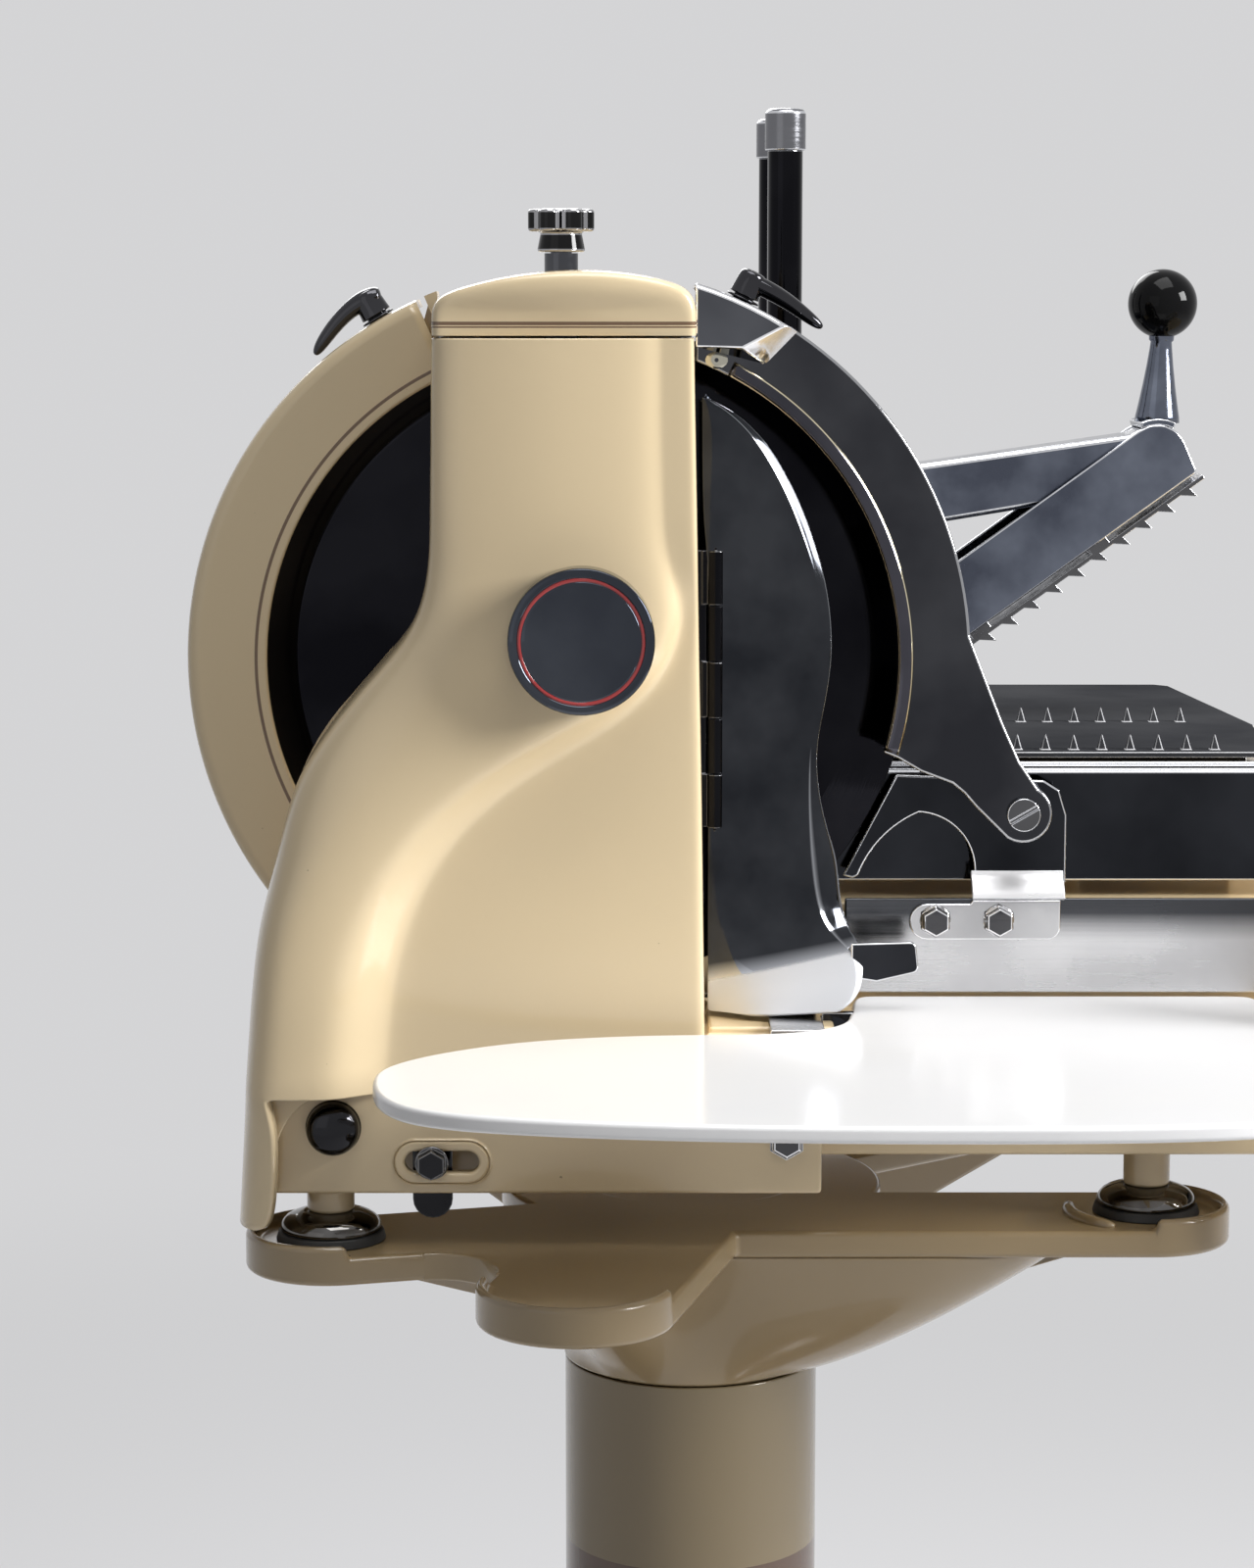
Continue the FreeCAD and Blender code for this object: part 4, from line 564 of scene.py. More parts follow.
casing_rails = [[] for _ in range(17)]
for left, brink, right, share, soft in casing_rows:
    width = (Vector(right) - Vector(brink)).length
    span = (Vector(brink) - Vector(left)).length
    crown = 0.056 * span
    sunk = (panel_sink - crown) * share
    face = band_face + crown
    stations = [
        (left, casing_rear), (left, -110), (left, face + 1.3 * soft),
        (toward(left, brink, 0.3 * soft), face + 0.22 * soft),
        (toward(left, brink, min(1.5 * soft, 0.2 * span)), band_face + 0.52 * crown),
        (toward(left, brink, 0.38 * span), band_face + 0.06 * crown),
        (toward(brink, left, 0.38 * span), band_face + 0.04 * crown),
        (toward(brink, left, min(9, 0.16 * span)), band_face + 0.4 * crown),
        (brink, band_face + 0.85 * crown + 0.2 * sunk),
        (toward(brink, right, min(9, 0.16 * width)), face + 0.6 * sunk),
        (toward(brink, right, min(17, 0.3 * width)), face + 0.92 * sunk),
        (toward(brink, right, min(24, 0.5 * width)), face + sunk),
        (toward(right, brink, min(9, 0.22 * width)), face + sunk),
        (toward(right, brink, min(3, 0.1 * width)), face + sunk + 0.2),
        (toward(right, brink, 0.3), face + sunk + 1.6), (right, face + sunk + 7), (right, casing_rear)]
    for rail, (point, depth) in zip(casing_rails, stations):
        rail.append(place(point[0], depth, point[1]))
casing = rails_joined(casing_rails)
# the leg is drawn down to the toe from the lowest row, at these heights
casing_foot = min(v.co.z for v in casing.verts)
for lift, inner in ((66, -209.5), (40, -209.8), (12, -212)):
    outer = -225.7 - (79 - lift) * 0.062
    hem = [e for e in casing.edges if all(v.co.z < casing_foot + 0.0001 and v.co.x < -0.2075 for v in e.verts)]
    drop = verts_of(bmesh.ops.extrude_edge_only(casing, edges=hem)["geom"])
    start = min(v.co.x for v in drop)
    reach = max(v.co.x for v in drop) - start
    casing_foot = (pad_height + lift) / 1000
    for v in drop:
        v.co.x = (outer + (inner - outer) * (v.co.x - start) / reach) / 1000
        v.co.z = casing_foot
softened(set_down("casing", frontward(casing), "stand", "cream", cream_enamel, "main_casing", level=False), 3, 0.006)
refinished("casing_back_plate", cream_enamel)

# The medallion on the casing: a turned disc, polished like a mirror, with a red line let
# into it inside a broad plain rim. It covers the end of the knife's shaft.
cap_centre = (-56.6, 307.4)
cap_section = [(0, -184.6), (12, -184.35), (22, -183.7), (28.2, -182.9), (28.8, -182.7), (29, -182.3), (30.9, -182.3),
               (31.1, -182.8), (31.6, -183.1), (33.4, -182.9), (34.9, -182.4), (35.5, -181.6), (35.5, -158)]


def turned_about(centre, section, steps=96, start=0, sweep=360):
    """A lathe-turned shape on an axis along Y, or an arc of one from start, in degrees."""
    shape = bmesh.new()
    points = [shape.verts.new(place(centre[0] + r * cos(radians(start)), y, centre[1] + r * sin(radians(start))))
              for r, y in section]
    whole = sweep == 360
    if whole:
        profile = points + [shape.edges.new(pair) for pair in zip(points, points[1:])]
    else:
        profile = [shape.faces.new(points), *shape.edges, *shape.verts]
    bmesh.ops.spin(shape, geom=profile, cent=place(centre[0], 0, centre[1]), axis=(0, -1, 0), angle=radians(sweep),
                   steps=steps, use_merge=whole)
    bmesh.ops.remove_doubles(shape, verts=shape.verts, dist=fine_weld)
    return outward(shape)


turned_group, turned_in, turned_place = surface_group("turned_surface", {
    "Tone": bright_tone, "Deep Tone": bright_deep, "Gloss": 0.06, "Smears": 0.16, "Centre": (0, 0, 0),
    "Ring Pitch": 1800})
sideways = vector_in("MULTIPLY", vector_in("SUBTRACT", turned_place, turned_in["Centre"]), (1, 0, 1))
rings = node_in(turned_group, "TexNoise", {
    "W": vector_in("LENGTH", sideways), "Scale": turned_in["Ring Pitch"], "Detail": 4},
    noise_dimensions="1D").outputs["Fac"]
wiped = noise_in(turned_place, 14, 6)
ring_gloss = range_in(rings, turned_in["Gloss"], turned_in["Smears"])
put_out(turned_group, mix_in(range_in(wiped, 0, 1), turned_in["Tone"], turned_in["Deep Tone"]),
        math_in("MULTIPLY", ring_gloss, range_in(wiped, 0.6, 1.3)), bump_in(rings, 0.05, 0.0003))


def turned_steel(name, tone, deep, gloss, smears, centre, pitch=1800):
    """Steel turned on a lathe, with fine rings round a centre in X and height."""
    return finish(name, turned_group, {
        "Tone": (*tone, 1), "Deep Tone": (*deep, 1), "Gloss": gloss, "Smears": smears,
        "Centre": place(centre[0], 0, centre[1]), "Ring Pitch": pitch}, metal)


medallion_steel = turned_steel("medallion_steel", (0.07, 0.077, 0.092), (0.045, 0.05, 0.062), 0.04, 0.09,
    cap_centre, 300)
set_down("medallion", turned_about(cap_centre, cap_section), "stand", "chrome", medallion_steel, "hub_cap")
red_line = cast("red_line", (0.42, 0.02, 0.02), (0.30, 0.012, 0.015), 0.15, 0.05, plain={"Coat Weight": 0.6})
red_groove = [(29.0, -182.2), (29.1, -182.6), (30.8, -182.6), (30.9, -182.2)]
set_down("medallion_red_line", turned_about(cap_centre, red_groove), "stand", "cream", red_line, level=False)

# The fixed half of the ring guard: a cast trough over the knife's edge, open behind, that
# ends in a clean cut beside the cap, with a brown line painted along its inner edge.
knife_centre = (-59, 288)
guard_section = [(158, -80), (158, -82.6), (158.5, -83.6), (159.6, -84), (192, -84), (195.5, -83.2), (198, -80.8),
                 (199, -77), (199, -42), (195, -42), (195, -77), (193, -80)]
guard_enamel = enamel("guard_enamel")


def distance_band(material, low, high, colour):
    """A band at a distance from the knife's axis, in metres."""
    tree = material.node_tree
    from_knife = node_in(tree, "Mapping", {
        "Vector": object_place(tree), "Location": (0.059, 0, -1.078), "Scale": (1, 0, 1)})
    band_between(material, vector_in("LENGTH", from_knife.outputs[0]), low, high, colour)


distance_band(guard_enamel, 0.1627, 0.1643, stripe_tone)
set_down("left_guard", turned_about(knife_centre, guard_section, 72, 114.2, 104.3), "stand", "cream", guard_enamel,
         "left_ring_guard")

# The knife: a dished disc of hard polished steel, its tone set almost black as a painted dark reflection, with a
# ground bevel whose inner edge shows as a bright line. Its hub and shaft are hidden by the casing.
knife_section = [(0, -62), (57, -62), (60, -61.4), (68, -59.4), (82, -57.2), (100, -56.3), (144.4, -56),
                 (145.2, -55.8), (170.5, -50.5), (171, -50.2), (170.8, -50), (0, -50)]
# the knife's near black tone is a painted dark reflection
knife_steel = turned_steel("knife_steel", (0.014, 0.014, 0.017), (0.007, 0.007, 0.009), 0.05, 0.14, knife_centre, 900)
set_down("knife_disc", turned_about(knife_centre, knife_section, 160), "blade", "knife_steel", knife_steel, "knife")

# The cap on top of the casing, over the sharpener: a separate casting with a crowned top,
# enamelled, with a fine brown line painted round its foot. It lifts off for grinding.
cap_outline = [(-129, 453), (-129.4, 463), (-127.5, 469.5), (-122, 473.6), (-112, 477), (-90, 482.4), (-60, 485),
               (-35, 483.6), (-14, 479.4), (-6, 476), (-1.8, 470.5), (-0.8, 463), (-1, 453)]
# how far back each section stands, and how much of the outline's width and height it has
cap_stations = [(-165, 0.86, 0.62), (-165, 0.935, 0.82), (-164.2, 0.975, 0.925), (-161.5, 0.996, 0.985), (-156, 1, 1),
                (-95, 1, 1), (-36, 1, 1), (-30, 0.996, 0.985), (-26.6, 0.97, 0.91), (-26, 0.9, 0.7)]
cap_middle = (-65, 453)
cap_rails = []
for depth, across, tall in cap_stations:
    bow = 5.5 if depth < -150 else 0
    cap_rails.append([place(
        cap_middle[0] + (x - cap_middle[0]) * across, depth + bow * ((x - cap_middle[0]) / 64) ** 2,
        cap_middle[1] + (lift - cap_middle[1]) * tall) for x, lift in cap_outline])
cap_skin = rails_joined(cap_rails)
for end in (cap_rails[0], cap_rails[-1]):
    rim = [v for v in cap_skin.verts if any((v.co - p).length < weld for p in end)]
    bmesh.ops.contextual_create(cap_skin, geom=rim)
cap_enamel = enamel("cap_enamel")
band_between(cap_enamel, height_in(cap_enamel), 1.2467, 1.2475, stripe_tone)
band_between(cap_enamel, height_in(cap_enamel), 1.2480, 1.2497, stripe_tone)
softened(set_down("casing_cap", outward(cap_skin), "stand", "cream", cap_enamel, "top_cover", level=False), 3)

# The sharpener: a chromed knob with six lobes on a steel plunger through the cap, which
# presses two small stones on the knife's edge.
grey_stone = cast("grey_stone", (0.22, 0.20, 0.18), (0.15, 0.14, 0.125), 0.6, 0.7, 1400)
# the knob's chrome is set near black, a painted dark reflection, with painted highlights on its edges
chrome_painted_dark = steel("chrome_painted_dark", (0.03, 0.03, 0.03), (0.018, 0.018, 0.018), 0.03, 0.1, 0.0,
    edge_highlight=(0.36, 0.36, 0.37))
fettled("sharpener_knob", 0.0016, "sharpener_handle", "black_knobs", chrome_painted_dark, 3, 40)
refinished("sharpening_stones", grey_stone)

# The swinging half of the ring guard: a heavy casting, ground and mirror-polished, with
# the ear that it turns on, and the ramp that it starts with beside the cap.
ring_face = -78.0
start_face = -88.0
ring_outer = 199
ground = {"hairlines": 0.03, "grain": (160, 160, 160)}


def plate_cut(outline, near, far, shape=None):
    """A plate from its outline in X and height, each corner with the radius it is cut to.

    It is added to the shape, if there is one."""
    shape = shape or bmesh.new()
    before = set(shape.faces)
    corners = [shape.verts.new(place(x, near, lift)) for x, lift, _ in outline]
    shape.faces.new(corners)
    for corner, (_, _, radius) in zip(corners, outline):
        if radius:
            bmesh.ops.bevel(shape, geom=[corner], offset=radius / 1000, offset_type="OFFSET", segments=5, profile=0.5,
                            affect="VERTICES", material=-1)
    extruded(shape, [face for face in shape.faces if face not in before], (0, (far - near) / 1000, 0))
    return outward(shape)


def sawn_copy(node, cut, away):
    """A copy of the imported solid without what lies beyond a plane, closed again."""
    shape = packed_copy(node)
    sawn = bmesh.ops.bisect_plane(shape, geom=shape.verts[:] + shape.edges[:] + shape.faces[:], dist=0.000001,
                                  plane_co=cut, plane_no=away, clear_outer=True)["geom_cut"]
    bmesh.ops.triangle_fill(shape, use_beauty=True, edges=[e for e in sawn if isinstance(e, bmesh.types.BMEdge)])
    return shape, verts_of(sawn)


ring, ring_front = sawn_copy("right_ring_guard", place(0, ring_face + 0.5, 0), (0, -1, 0))
bmesh.ops.translate(ring, vec=(0, -0.0005, 0), verts=ring_front)
ring_steel = steel("ring_steel", (0.075, 0.077, 0.085), (0.035, 0.036, 0.042), 0.045, 0.13,
    edge_highlight=(0.42, 0.425, 0.44), **ground)
set_down("swinging_ring", round_over(outward(flattened(ring)), 0.0014, 3), "swing_guard", "polished", ring_steel,
         "right_ring_guard")

start_outline = [(-0.3, 446.3), (23.2, 445.8), (45.6, 457.2)] + [
    (knife_centre[0] + ring_outer * cos(radians(a)), knife_centre[1] + ring_outer * sin(radians(a)))
    for a in (61, 64, 67, 70, 72.8)]
ring_start = plate_cut([(x, lift, 0) for x, lift in start_outline], start_face, ring_face + 1)
for v in ring_start.verts:
    for crest, foot in (((23.2, 445.8), (35.8, 436.8)), ((45.6, 457.2), (51.6, 453.6))):
        if (v.co - place(crest[0], ring_face + 1, crest[1])).length < 0.0001:
            v.co = place(foot[0], ring_face + 1, foot[1])
outward(ring_start)
knife_middle = place(knife_centre[0], 0, knife_centre[1])
outer_edge = [e for e in ring_start.edges if all(
    v.co.y < -0.0875 and (Vector((v.co.x, 0, v.co.z)) - knife_middle).length > 0.1975 for v in e.verts)]
bmesh.ops.bevel(ring_start, geom=outer_edge, offset=0.0034, offset_type="OFFSET", segments=3, profile=0.5,
                affect="EDGES", material=-1)
round_over(ring_start, 0.0009, 3)
# the faces of the ramp turned to the right and the front are painted near white, a painted highlight
painted_highlight = ring_start.loops.layers.float["painted_highlight"]
for face in ring_start.faces:
    if face.normal.x > 0.28 and face.normal.y < -0.3:
        for corner in face.loops:
            corner[painted_highlight] = 1
start_steel = steel("start_steel", (0.13, 0.135, 0.15), (0.07, 0.073, 0.083), 0.05, 0.14,
    edge_highlight=(0.88, 0.88, 0.90), **ground)
set_down("ring_start", ring_start, "swing_guard", "polished", start_steel)

# The small steel tag behind the start of the ring, pierced with one hole, by which the ring
# is lifted off its seat.
tag = bmesh.new()
tag_place = place(10.4, -79.5, 439.6)
tag_turn = Matrix.Translation(tag_place) @ Matrix.Rotation(radians(8), 4, "Y") @ Matrix.Rotation(radians(90), 4, "X")
for hole_or_rim in (0.0011, 0.0052):
    tag_rim = bmesh.ops.create_circle(tag, cap_ends=False, segments=16, radius=hole_or_rim, matrix=tag_turn)["verts"]
bmesh.ops.scale(tag, vec=(1.1, 1, 0.82), space=Matrix.Translation(-tag_place), verts=tag_rim)
extruded(tag, bmesh.ops.bridge_loops(tag, edges=tag.edges[:])["faces"], (0, 0.0012, 0))
tag_steel = steel("tag_steel", (0.50, 0.48, 0.40), (0.38, 0.36, 0.30), 0.25, 0.4)
set_down("ring_tag", outward(tag), "swing_guard", "polished", tag_steel)

# The lip along the inner edge of the swinging half: a half round steel moulding, soldered on and polished with it,
# with a pale band painted along each side, a painted highlight.
lip_steel = turned_steel("lip_steel", (0.085, 0.083, 0.10), (0.05, 0.05, 0.06), 0.05, 0.12, knife_centre)
# the pale bands on the lip's inner and outer side are painted highlights
distance_band(lip_steel, 0, 0.1631, (0.78, 0.74, 0.66, 1))
distance_band(lip_steel, 0.1689, 1, (0.80, 0.72, 0.52, 1))
lip_section = [(162, -78), (162, -79.4), (162.5, -80.2), (163.6, -81.2), (166, -81.8), (168.4, -81.2), (169.5, -80.2),
               (170, -79.4), (170, -78)]
set_down("guard_lip", turned_about(knife_centre, lip_section, 76, -16.5, 79), "swing_guard", "polished", lip_steel,
         "guard_bead")

# The bracket that carries the swinging half: one polished plate with an arch cut out of it, cranked forward over the
# bed's front plate to a tab that takes two bolts. Its cranked step is painted near white, a painted highlight.
dark_mirror = steel("dark_mirror", (0.035, 0.037, 0.043), (0.016, 0.017, 0.02), 0.05, 0.14, **ground)
light_steel = steel("light_steel", (0.56, 0.56, 0.57), (0.42, 0.42, 0.43), 0.16, 0.34, 0.04,
    (60, 60, 60), edge_highlight=(0.9, 0.9, 0.92))
# the crank's near white tone is a painted highlight
crank_painted_highlight = steel("crank_painted_highlight", (0.95, 0.95, 0.96), (0.90, 0.90, 0.92), 0.42, 0.55, 0.03,
    (20, 400, 400), plain={"Metallic": 0.5})
bracket = flattened(sawn_copy("guard_bracket", place(0, 0, 169), (0, 0, -1))[0])
set_down("bracket_plate", round_over(outward(bracket), 0.0009, 3), "stand", "polished", dark_mirror, "guard_bracket")
crank_front = [(-54.05, 176.2), (-54.5, 174.6), (-55.8, 173), (-58, 171.3), (-60.8, 169.4), (-63, 167.4),
               (-64.4, 165.2), (-65.1, 162.9)]
crank_back = [(y + 2.6, lift - 1.2) for y, lift in reversed(crank_front)]
crank = drawn_out([place(143.8, y, lift) for y, lift in crank_front + crank_back], (0.0478, 0, 0))
set_down("bracket_crank", round_over(crank, 0.0005, 2, 50), "stand", "polished", crank_painted_highlight)
bolt_tab = plate_cut([
    (111.4, 141.4, 9.2), (189.4, 141.4, 6.5), (189.4, 162.2, 0.6), (143.9, 162.2, 0.6), (142.8, 160.3, 0.6),
    (111.4, 160.3, 9.2)], -65, -62)
set_down("bracket_tab", round_over(bolt_tab, 0.0008, 3), "stand", "polished", light_steel)
bright_bolts = steel("bright_bolts", (0.10, 0.10, 0.105), (0.06, 0.06, 0.065), 0.06, 0.2, 0.0, edge_highlight=(0.9, 0.9, 0.92))
fettled("guard_pivot_screw", 0.0005, "stand", "chrome", chrome)
fettled("bracket_bolts", 0.0009, "stand", "chrome", bright_bolts, 3)

# The two clamp levers on top of the ring: chromed forgings on radial studs, whose curved
# handles run flush out of their hubs and taper to the tip.
lever_depth = -61.5
lever_chrome = steel("lever_chrome", (0.07, 0.07, 0.075), (0.045, 0.045, 0.05), 0.025, 0.07, 0.0)
# the height of each turn of the hub above the ring, and its radius
lever_hub = [(-4, 4), (0.5, 4), (0.55, 8.4), (0.8, 8.8), (1.5, 8.8), (1.8, 8.4), (1.85, 5.2), (2.6, 5.2), (2.65, 7.7),
             (3.1, 8.1), (4.2, 7.8), (12.6, 7.2), (14.6, 6.6), (15.6, 5.2), (16.1, 2.6)]


def guard_lever(side, angle, handle):
    """A hub on its stud in the ring; the handle is given by its middles and half heights."""
    out = Vector((cos(radians(angle)), 0, sin(radians(angle))))
    foot = place(knife_centre[0], lever_depth, knife_centre[1]) + out * ring_outer / 1000
    shape = bmesh.new()
    limb(shape, [(foot + out * h / 1000, r, r, out) for h, r in lever_hub], 32)
    middles = [place(x, lever_depth, lift) for x, lift, _ in handle]
    stations = []
    for i, (middle, (_, _, half)) in enumerate(zip(middles, handle)):
        heading = (middles[min(i + 1, len(handle) - 1)] - middles[max(i - 1, 0)]).normalized()
        stations.append((middle, half, 1.25 * half, heading))
    limb(shape, stations)
    softened(set_down(side + "_lever", outward(shape), side + "_clamp", "chrome", lever_chrome, side + "_guard_lever",
                      level=False), 2)


guard_lever("left", 120.5, [
    (-158.6, 471.6, 4.6), (-163.4, 471.0, 5.4), (-168.8, 468.6, 5.3), (-175.4, 464.2, 4.5), (-182, 457.4, 4.1),
    (-187.4, 450.2, 3.7), (-190.6, 445.4, 3.0), (-192.2, 442.8, 1.9), (-192.8, 441.8, 0.8)])
guard_lever("right", 65.5, [
    (23.4, 479.6, 4.2), (27.6, 478.8, 4.7), (32.3, 476.6, 4.8), (39.7, 472.9, 4.6), (47.7, 468.0, 4.1),
    (54.7, 462.8, 3.6), (60.4, 458.4, 2.9), (63.2, 456.3, 2.0), (64.4, 455.5, 0.8)])

# The deflector: a pressed steel plate beside the casing that turns each slice down to the
# tray. Its edge is rolled back toward the knife, and its foot flares out over the tray, in
# front of a steel rest.
deflector_face = -98.0
# each row's height at its left and right end, its left and right end, how far it flares out,
# and the width of its rolled edge
deflector_rows = [
    (421.4, 421.4, 2.9, 4.6, 0, 0.8), (418, 418, 2.9, 12.5, 0, 2.4), (411.5, 411.5, 3, 22.8, 0, 3.6),
    (400, 400, 3, 34.8, 0, 4.6), (380.4, 380.4, 3.2, 46.6, 0, 5), (362, 362, 3.6, 55, 0, 5),
    (343.7, 343.7, 5.5, 61.1, 0, 4.8), (326.5, 326.5, 6.5, 66.1, 0, 4.6), (302, 302, 6.5, 68.9, 0, 4.4),
    (282, 282, 6.5, 67.9, 0, 4.2), (262, 262, 6.5, 64.1, 0, 4), (246, 246, 6.5, 61.2, 0, 3.6),
    (232, 232, 6.5, 61.4, 0, 4.2), (217, 217, 6.5, 63.6, 0, 6.5), (200, 200, 6.5, 68.4, 0.2, 10.7),
    (187, 187, 6.5, 72.6, 0.5, 14), (170, 172, 6.5, 73.4, 1, 13), (150, 158, 6.5, 75.7, 1.8, 11.5),
    (134, 149, 6.5, 81, 3.2, 8.5), (124.5, 143, 6.5, 84.4, 5.5, 5), (119.5, 135, 6.5, 85.2, 8.5, 3.5),
    (115.5, 126.5, 6.5, 84.4, 12, 3), (112.6, 119, 6.5, 81, 14.6, 2.4), (110.6, 113.4, 6.5, 73, 16.4, 2)]
deflector_rails = [[] for _ in range(12)]
for low_left, low_right, left, right, flare, roll in deflector_rows:
    reach = right - left
    roll = min(roll, 0.55 * reach)
    flat = reach - roll
    for rail, (x, back) in zip(deflector_rails, [
            (left, 0.4), (left + 0.1 * reach, 0), (left + 0.22 * flat, -0.3), (left + 0.4 * flat, -0.4),
            (left + 0.7 * flat, -0.4), (right - 1.1 * roll, -0.1), (right - roll, 0.2),
            (right - 0.93 * roll, 0.07 * roll), (right - 0.8 * roll, 0.15 * roll), (right - 0.4 * roll, 0.36 * roll),
            (right - 0.08 * roll, 0.56 * roll), (right, 0.66 * roll)]):
        spread = min(1, max(0, (x - left) / 26))
        swell = flare * (0.1 * spread + 0.9 * spread * spread * (3 - 2 * spread))
        rail.append(place(x, deflector_face + back - swell, low_left + (low_right - low_left) * (x - left) / reach))
deflector_skin = rails_joined(deflector_rails)
# its foot is painted near white, a painted reflection of the tray, and its edge and the line where the roll starts
# are painted light, painted highlights
painted_light_layer = deflector_skin.loops.layers.float.new("painted_highlight")
deflector_skin.verts.index_update()
for corner in [corner for face in deflector_skin.faces for corner in face.loops]:
    rail, row = divmod(corner.vert.index, len(deflector_rows))
    if row > 18:
        corner[painted_light_layer] = 1
    elif rail == 11:
        corner[painted_light_layer] = 0.7
    elif rail == 7 and not 5 < row < 12:
        corner[painted_light_layer] = 0.55
deflector_steel = steel("deflector_steel", (0.055, 0.058, 0.065), (0.025, 0.027, 0.032), 0.06, 0.18,
    0.03, (90, 90, 90), smear_size=20, edge_highlight=(0.60, 0.615, 0.65))
# the foot is made less metallic and rougher so its painted reflection shows near white
foot_tree = deflector_steel.node_tree
foot_inputs = foot_tree.nodes["Principled BSDF"].inputs
painted_reflection_mask = node_in(foot_tree, "Attribute", attribute_name="painted_highlight").outputs["Fac"]
foot_gloss = foot_inputs["Roughness"].links[0].from_socket
for socket, plate_value, foot_value in (("Metallic", 1.0, 0.2), ("Roughness", foot_gloss, 0.42)):
    foot_tree.links.new(range_in(painted_reflection_mask, plate_value, foot_value, 0.75, 1.0), foot_inputs[socket])
softened(set_down("slice_plate", frontward(deflector_skin), "slice_deflector", "polished", deflector_steel,
                  "deflector", level=False), 3, 0.0025)
finger_tab = plate_cut([(79, 146.5, 0), (111.7, 147.4, 3), (113.4, 132, 3), (92, 127, 0), (79, 129, 0)],
                       -104.5, -101.5)
set_down("slice_plate_tab", round_over(finger_tab, 0.0008), "slice_deflector", "polished", dark_mirror)
knuckles = bmesh.new()
for low, high in ((232.5, 260.5), (289.5, 317.5)):
    limb(knuckles, [(place(10, -96, z), r, r, (0, 0, 1)) for z, r in (
        (low, 3.4), (low + 0.6, 4), (high - 0.6, 4), (high, 3.4))], 24)
hinge_steel = steel("hinge_steel", (0.014, 0.014, 0.016), (0.008, 0.008, 0.01), 0.14, 0.3, 0.0,
    edge_highlight=(0.12, 0.12, 0.125))
set_down("slice_plate_knuckles", outward(knuckles), "slice_deflector", "polished", hinge_steel)
fettled("deflector_hinge", 0.0004, "stand", "polished", hinge_steel)
for name, left, right, near, high, material in (
        ("foot_rest", 36.7, 64, -145, 110.3, light_steel), ("foot_rest_side", 64, 81, -109.5, 112, dark_mirror)):
    rest = plate_cut([(left, 98, 0), (right, 98, 0), (right, high, 1), (left, high, 1)], near, -104)
    set_down(name, round_over(rest, 0.0006), "stand", "polished", material)

# The tray that the slices fall on: thick white glossy plastic with a rounded edge, laid
# on two arms of the bed.
tray_white = cast("tray_white", (0.93, 0.93, 0.935), (0.90, 0.90, 0.91), 0.14, 0.02, 300)
tray_outline = [
    (0, -162.6), (22, -162.4), (38, -160), (52, -155.6), (64, -147.5), (72, -137), (76.5, -124), (79, -104),
    (81, -82), (83, -70), (88, -64.6), (98, -64), (140, -64), (200, -64), (262, -64), (284, -64.2), (290.5, -70),
    (293, -90), (297, -140), (299.5, -190), (300, -240), (299, -280), (294, -312), (283, -333), (264, -348),
    (240, -356.5), (208, -361.5), (170, -364.2), (130, -365), (80, -364.6), (30, -362.8), (-20, -358.5),
    (-66, -351.5), (-98, -344), (-120, -335.5), (-136, -323.5), (-146, -306), (-151.4, -285), (-153, -262),
    (-151.4, -246), (-145.6, -232), (-134.5, -216.5), (-120, -202.5), (-102, -189), (-80, -177.5), (-54, -169.5),
    (-26, -164.5)]
tray_edge = 0.0024
tray_line = bpy.data.curves.new("tray_line", "CURVE")
tray_line.dimensions = "2D"
tray_line.fill_mode = "BOTH"
tray_line.extrude = 0.004 - tray_edge
tray_line.bevel_depth = tray_edge
tray_line.bevel_resolution = 4
tray_line.offset = -tray_edge
tray_line.resolution_u = 6
rim = tray_line.splines.new("NURBS")
rim.points.add(len(tray_outline) - 1)
for point, (x, y) in zip(rim.points, tray_outline):
    point.co = (x / 1000, y / 1000, 0, 1)
rim.use_cyclic_u = True
rim.order_u = 3
tray_solid = bpy.data.meshes.new_from_object(bpy.data.objects.new("tray_line", tray_line))
tray = bmesh.new()
tray.from_mesh(tray_solid)
bmesh.ops.translate(tray, vec=place(0, 0, 108), verts=tray.verts)
bmesh.ops.remove_doubles(tray, verts=tray.verts, dist=fine_weld)
set_down("slice_tray", outward(tray), "stand", "white", tray_white, "receiving_tray")

# Bright fittings of the bed: the long front plate, light below and painted dark along its top as a painted dark
# reflection, the bolt in the toe, one half hidden by the tray, and the slotted adjuster with its tongue.
apron_steel = steel("apron_steel", (0.72, 0.72, 0.73), (0.60, 0.60, 0.615), 0.36, 0.5, 0.05, (6, 6, 700))
apron_tree = apron_steel.node_tree
apron_colour = apron_tree.nodes["Principled BSDF"].inputs["Base Color"]
# the top of the front plate is painted dark, a painted dark reflection
top_dark_reflection = range_in(height_in(apron_steel), 0, 0.94, 0.931, 0.945)
dark_reflection_tone = (0.035, 0.038, 0.045, 1)
apron_tree.links.new(mix_in(top_dark_reflection, apron_colour.links[0].from_socket, dark_reflection_tone), apron_colour)
dark_bolt = steel("dark_bolt", (0.035, 0.035, 0.038), (0.02, 0.02, 0.022), 0.08, 0.3, 0.05,
    (300, 300, 300), edge_highlight=(0.16, 0.16, 0.165))
fettled("front_apron", 0.001, "stand", "polished", apron_steel)
set_down("toe_bolt", turned_about((-181, 61), [
    (0, -158), (4.4, -157.8), (8.2, -156.9), (10.9, -155.3), (12.6, -152.9), (13.4, -150), (13.4, -146.6),
    (13.9, -146.1), (13.9, -145)], 64), "stand", "plain_steel", dark_bolt, "bed_bolt")
hidden_bolt = bmesh.new()
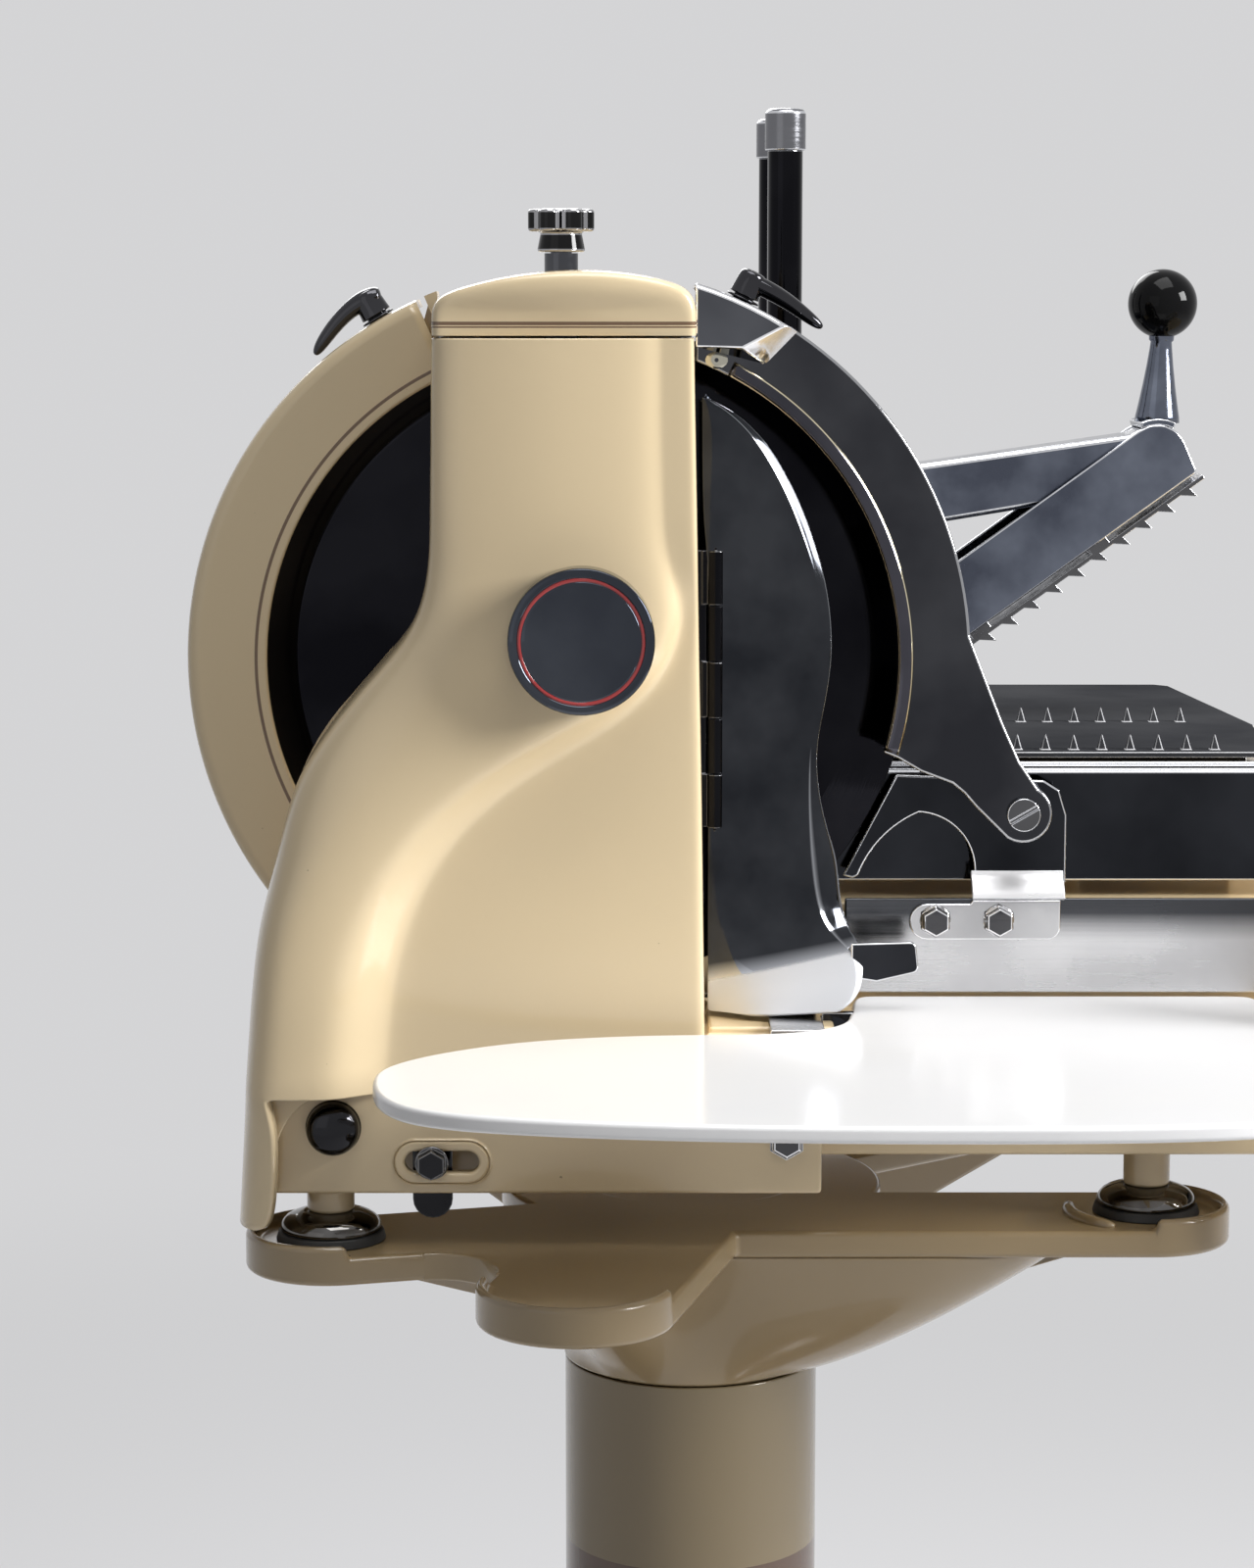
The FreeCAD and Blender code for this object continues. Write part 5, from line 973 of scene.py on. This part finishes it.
limb(hidden_bolt, [(place(45, y, 54), r, r, (0, 1, 0)) for y, r in (
    (-145, 9.6), (-146.4, 9.6), (-146.5, 8.2), (-149.6, 8.2), (-150.4, 7))], 6)
set_down("tray_bolt", round_over(outward(hidden_bolt), 0.0003), "stand", "plain_steel", bright_bolts)
fettled("tension_bolt", 0.0007, "tensioner", "plain_steel", dark_bolt)
tongue = plate_cut([(-142, 53.5, 1), (-122, 53.5, 1), (-122, 13, 9.9), (-142, 13, 9.9)], -138.6, -137.1)
set_down("tension_blade", round_over(tongue, 0.0004), "tensioner", "plain_steel", dark_bolt, "tension_tongue")

# The carriage: a machined iron plate on two rods, painted cream below, with a polished
# plate on its front and a grooved strip along the top of it.
dark_steel = steel("dark_steel", (0.05, 0.051, 0.055), (0.028, 0.029, 0.032), 0.14, 0.28, 0.1, (9, 9, 600))
fettled("carriage", 0.0012, "slide", "cream", cream_enamel)
fettled("upper_apron", 0.0012, "slide", "polished", dark_mirror, 3)
fettled("ribbed_strip", 0.0004, "slide", "table_metal", dark_steel)

# The meat table: a bright slide with the spiked plate on it, the feed screw and its knob,
# and the two posts of the press with turned caps.
fettled("table_slide", 0.0006, "table", "table_metal", dark_steel)
meat_steel = steel("meat_steel", (0.055, 0.056, 0.06), (0.035, 0.036, 0.04), 0.45, 0.6, 0.1, (9, 9, 600),
    edge_highlight=(0.55, 0.55, 0.57), plain={"Specular IOR Level": 0.0})
fettled("meat_plate", 0.0005, "table", "table_metal", meat_steel)
post_steel = steel("post_steel", (0.02, 0.02, 0.023), (0.01, 0.01, 0.012), 0.05, 0.12, 0.02, (400, 400, 4))
fettled("posts", 0.0005, "table", "polished", post_steel)
cap_alloy = steel("cap_alloy", (0.24, 0.243, 0.26), (0.17, 0.172, 0.185), 0.16, 0.3, 0.12, (20, 20, 900))
fettled("post_caps", 0.0008, "table", "polished", cap_alloy)
fettled("feed_knob", 0.0012, "feed", "black_knobs", hard_rubber, 3)

# The meat press: a cast alloy arm and a hinged jaw with a toothed steel strip below it,
# buffed but less bright than the guards, and a lever with a black ball to lift it by.
press_alloy = steel("press_alloy", (0.19, 0.21, 0.26), (0.085, 0.095, 0.125), 0.12, 0.28, 0.03,
    (420, 90, 420), smear_size=22)
fettled("press_arm", 0.003, "press", "polished", press_alloy, 4)
jaw_left, jaw_right, jaw_low, jaw_high = 111.0, 263.0, 361.0, 399.0
jaw_pin = 380
channel = bmesh.new()
for near, far in ((130, 133.5), (176.5, 180)):
    plate_cut([
        (jaw_left, jaw_low, 1), (jaw_right + 13.5, jaw_low, 2), (jaw_right + 17.8, jaw_pin, 3),
        (jaw_right + 17.2, 387, 2), (jaw_right + 13.4, 393.6, 2), (jaw_right + 7.4, 397.8, 2),
        (jaw_right, jaw_high, 2), (jaw_left + 14, jaw_high, 4), (jaw_left + 3, 396, 3), (jaw_left, 385, 4)],
        near, far, channel)
plate_cut([
    (jaw_left + 1, jaw_low + 0.3, 0), (jaw_right - 40, jaw_low + 0.3, 0), (jaw_right - 40, jaw_low + 3.5, 0),
    (jaw_left + 1, jaw_low + 3.5, 0)], 133, 177, channel)
bmesh.ops.rotate(channel, cent=place(jaw_right, 0, jaw_pin), matrix=Matrix.Rotation(radians(-36), 3, "Y"),
                 verts=channel.verts)
set_down("jaw_channel", round_over(channel, 0.0009, 2, 35), "jaw", "polished", press_alloy, "press_jaw")
jaw_bridge = bmesh.new()
limb(jaw_bridge, [(place(jaw_right, y, jaw_pin), r, r, (0, 1, 0)) for y, r in (
    (131, 6), (131.6, 6.6), (178.4, 6.6), (179, 6))], 32)
bridge_arc = [(18.8, a) for a in (62, 74, 90, 106, 118)] + [(22.4, a) for a in (116, 104, 90, 76, 64)]
plate_cut([
    (jaw_right + r * cos(radians(a)), jaw_pin + r * sin(radians(a)), 0) for r, a in bridge_arc],
    130.6, 179.4, jaw_bridge)
set_down("jaw_bridge", round_over(jaw_bridge, 0.0008, 2, 35), "jaw", "polished", press_alloy)
fettled("jaw_teeth", 0.0003, "jaw", "plain_steel", plain_steel)
lever_foot, lever_top = place(265.5, 155, 399.5), place(267.4, 155, 452)
lever_line = lever_top - lever_foot
ball_lever = bmesh.new()
limb(ball_lever, [(lever_foot + lever_line * share, r, r, lever_line) for share, r in (
    (0, 12.6), (0.06, 12.4), (0.2, 11.0), (0.4, 9.2), (0.6, 7.6), (0.78, 6.4), (0.86, 6.0), (0.88, 7.0), (0.95, 7.2),
    (0.98, 6.4), (1.0, 5.0))], 40)
set_down("ball_handle", outward(ball_lever), "jaw", "polished", press_alloy, "ball_lever")
fettled("ball_knob", 0, "jaw", "black_knobs", hard_rubber)
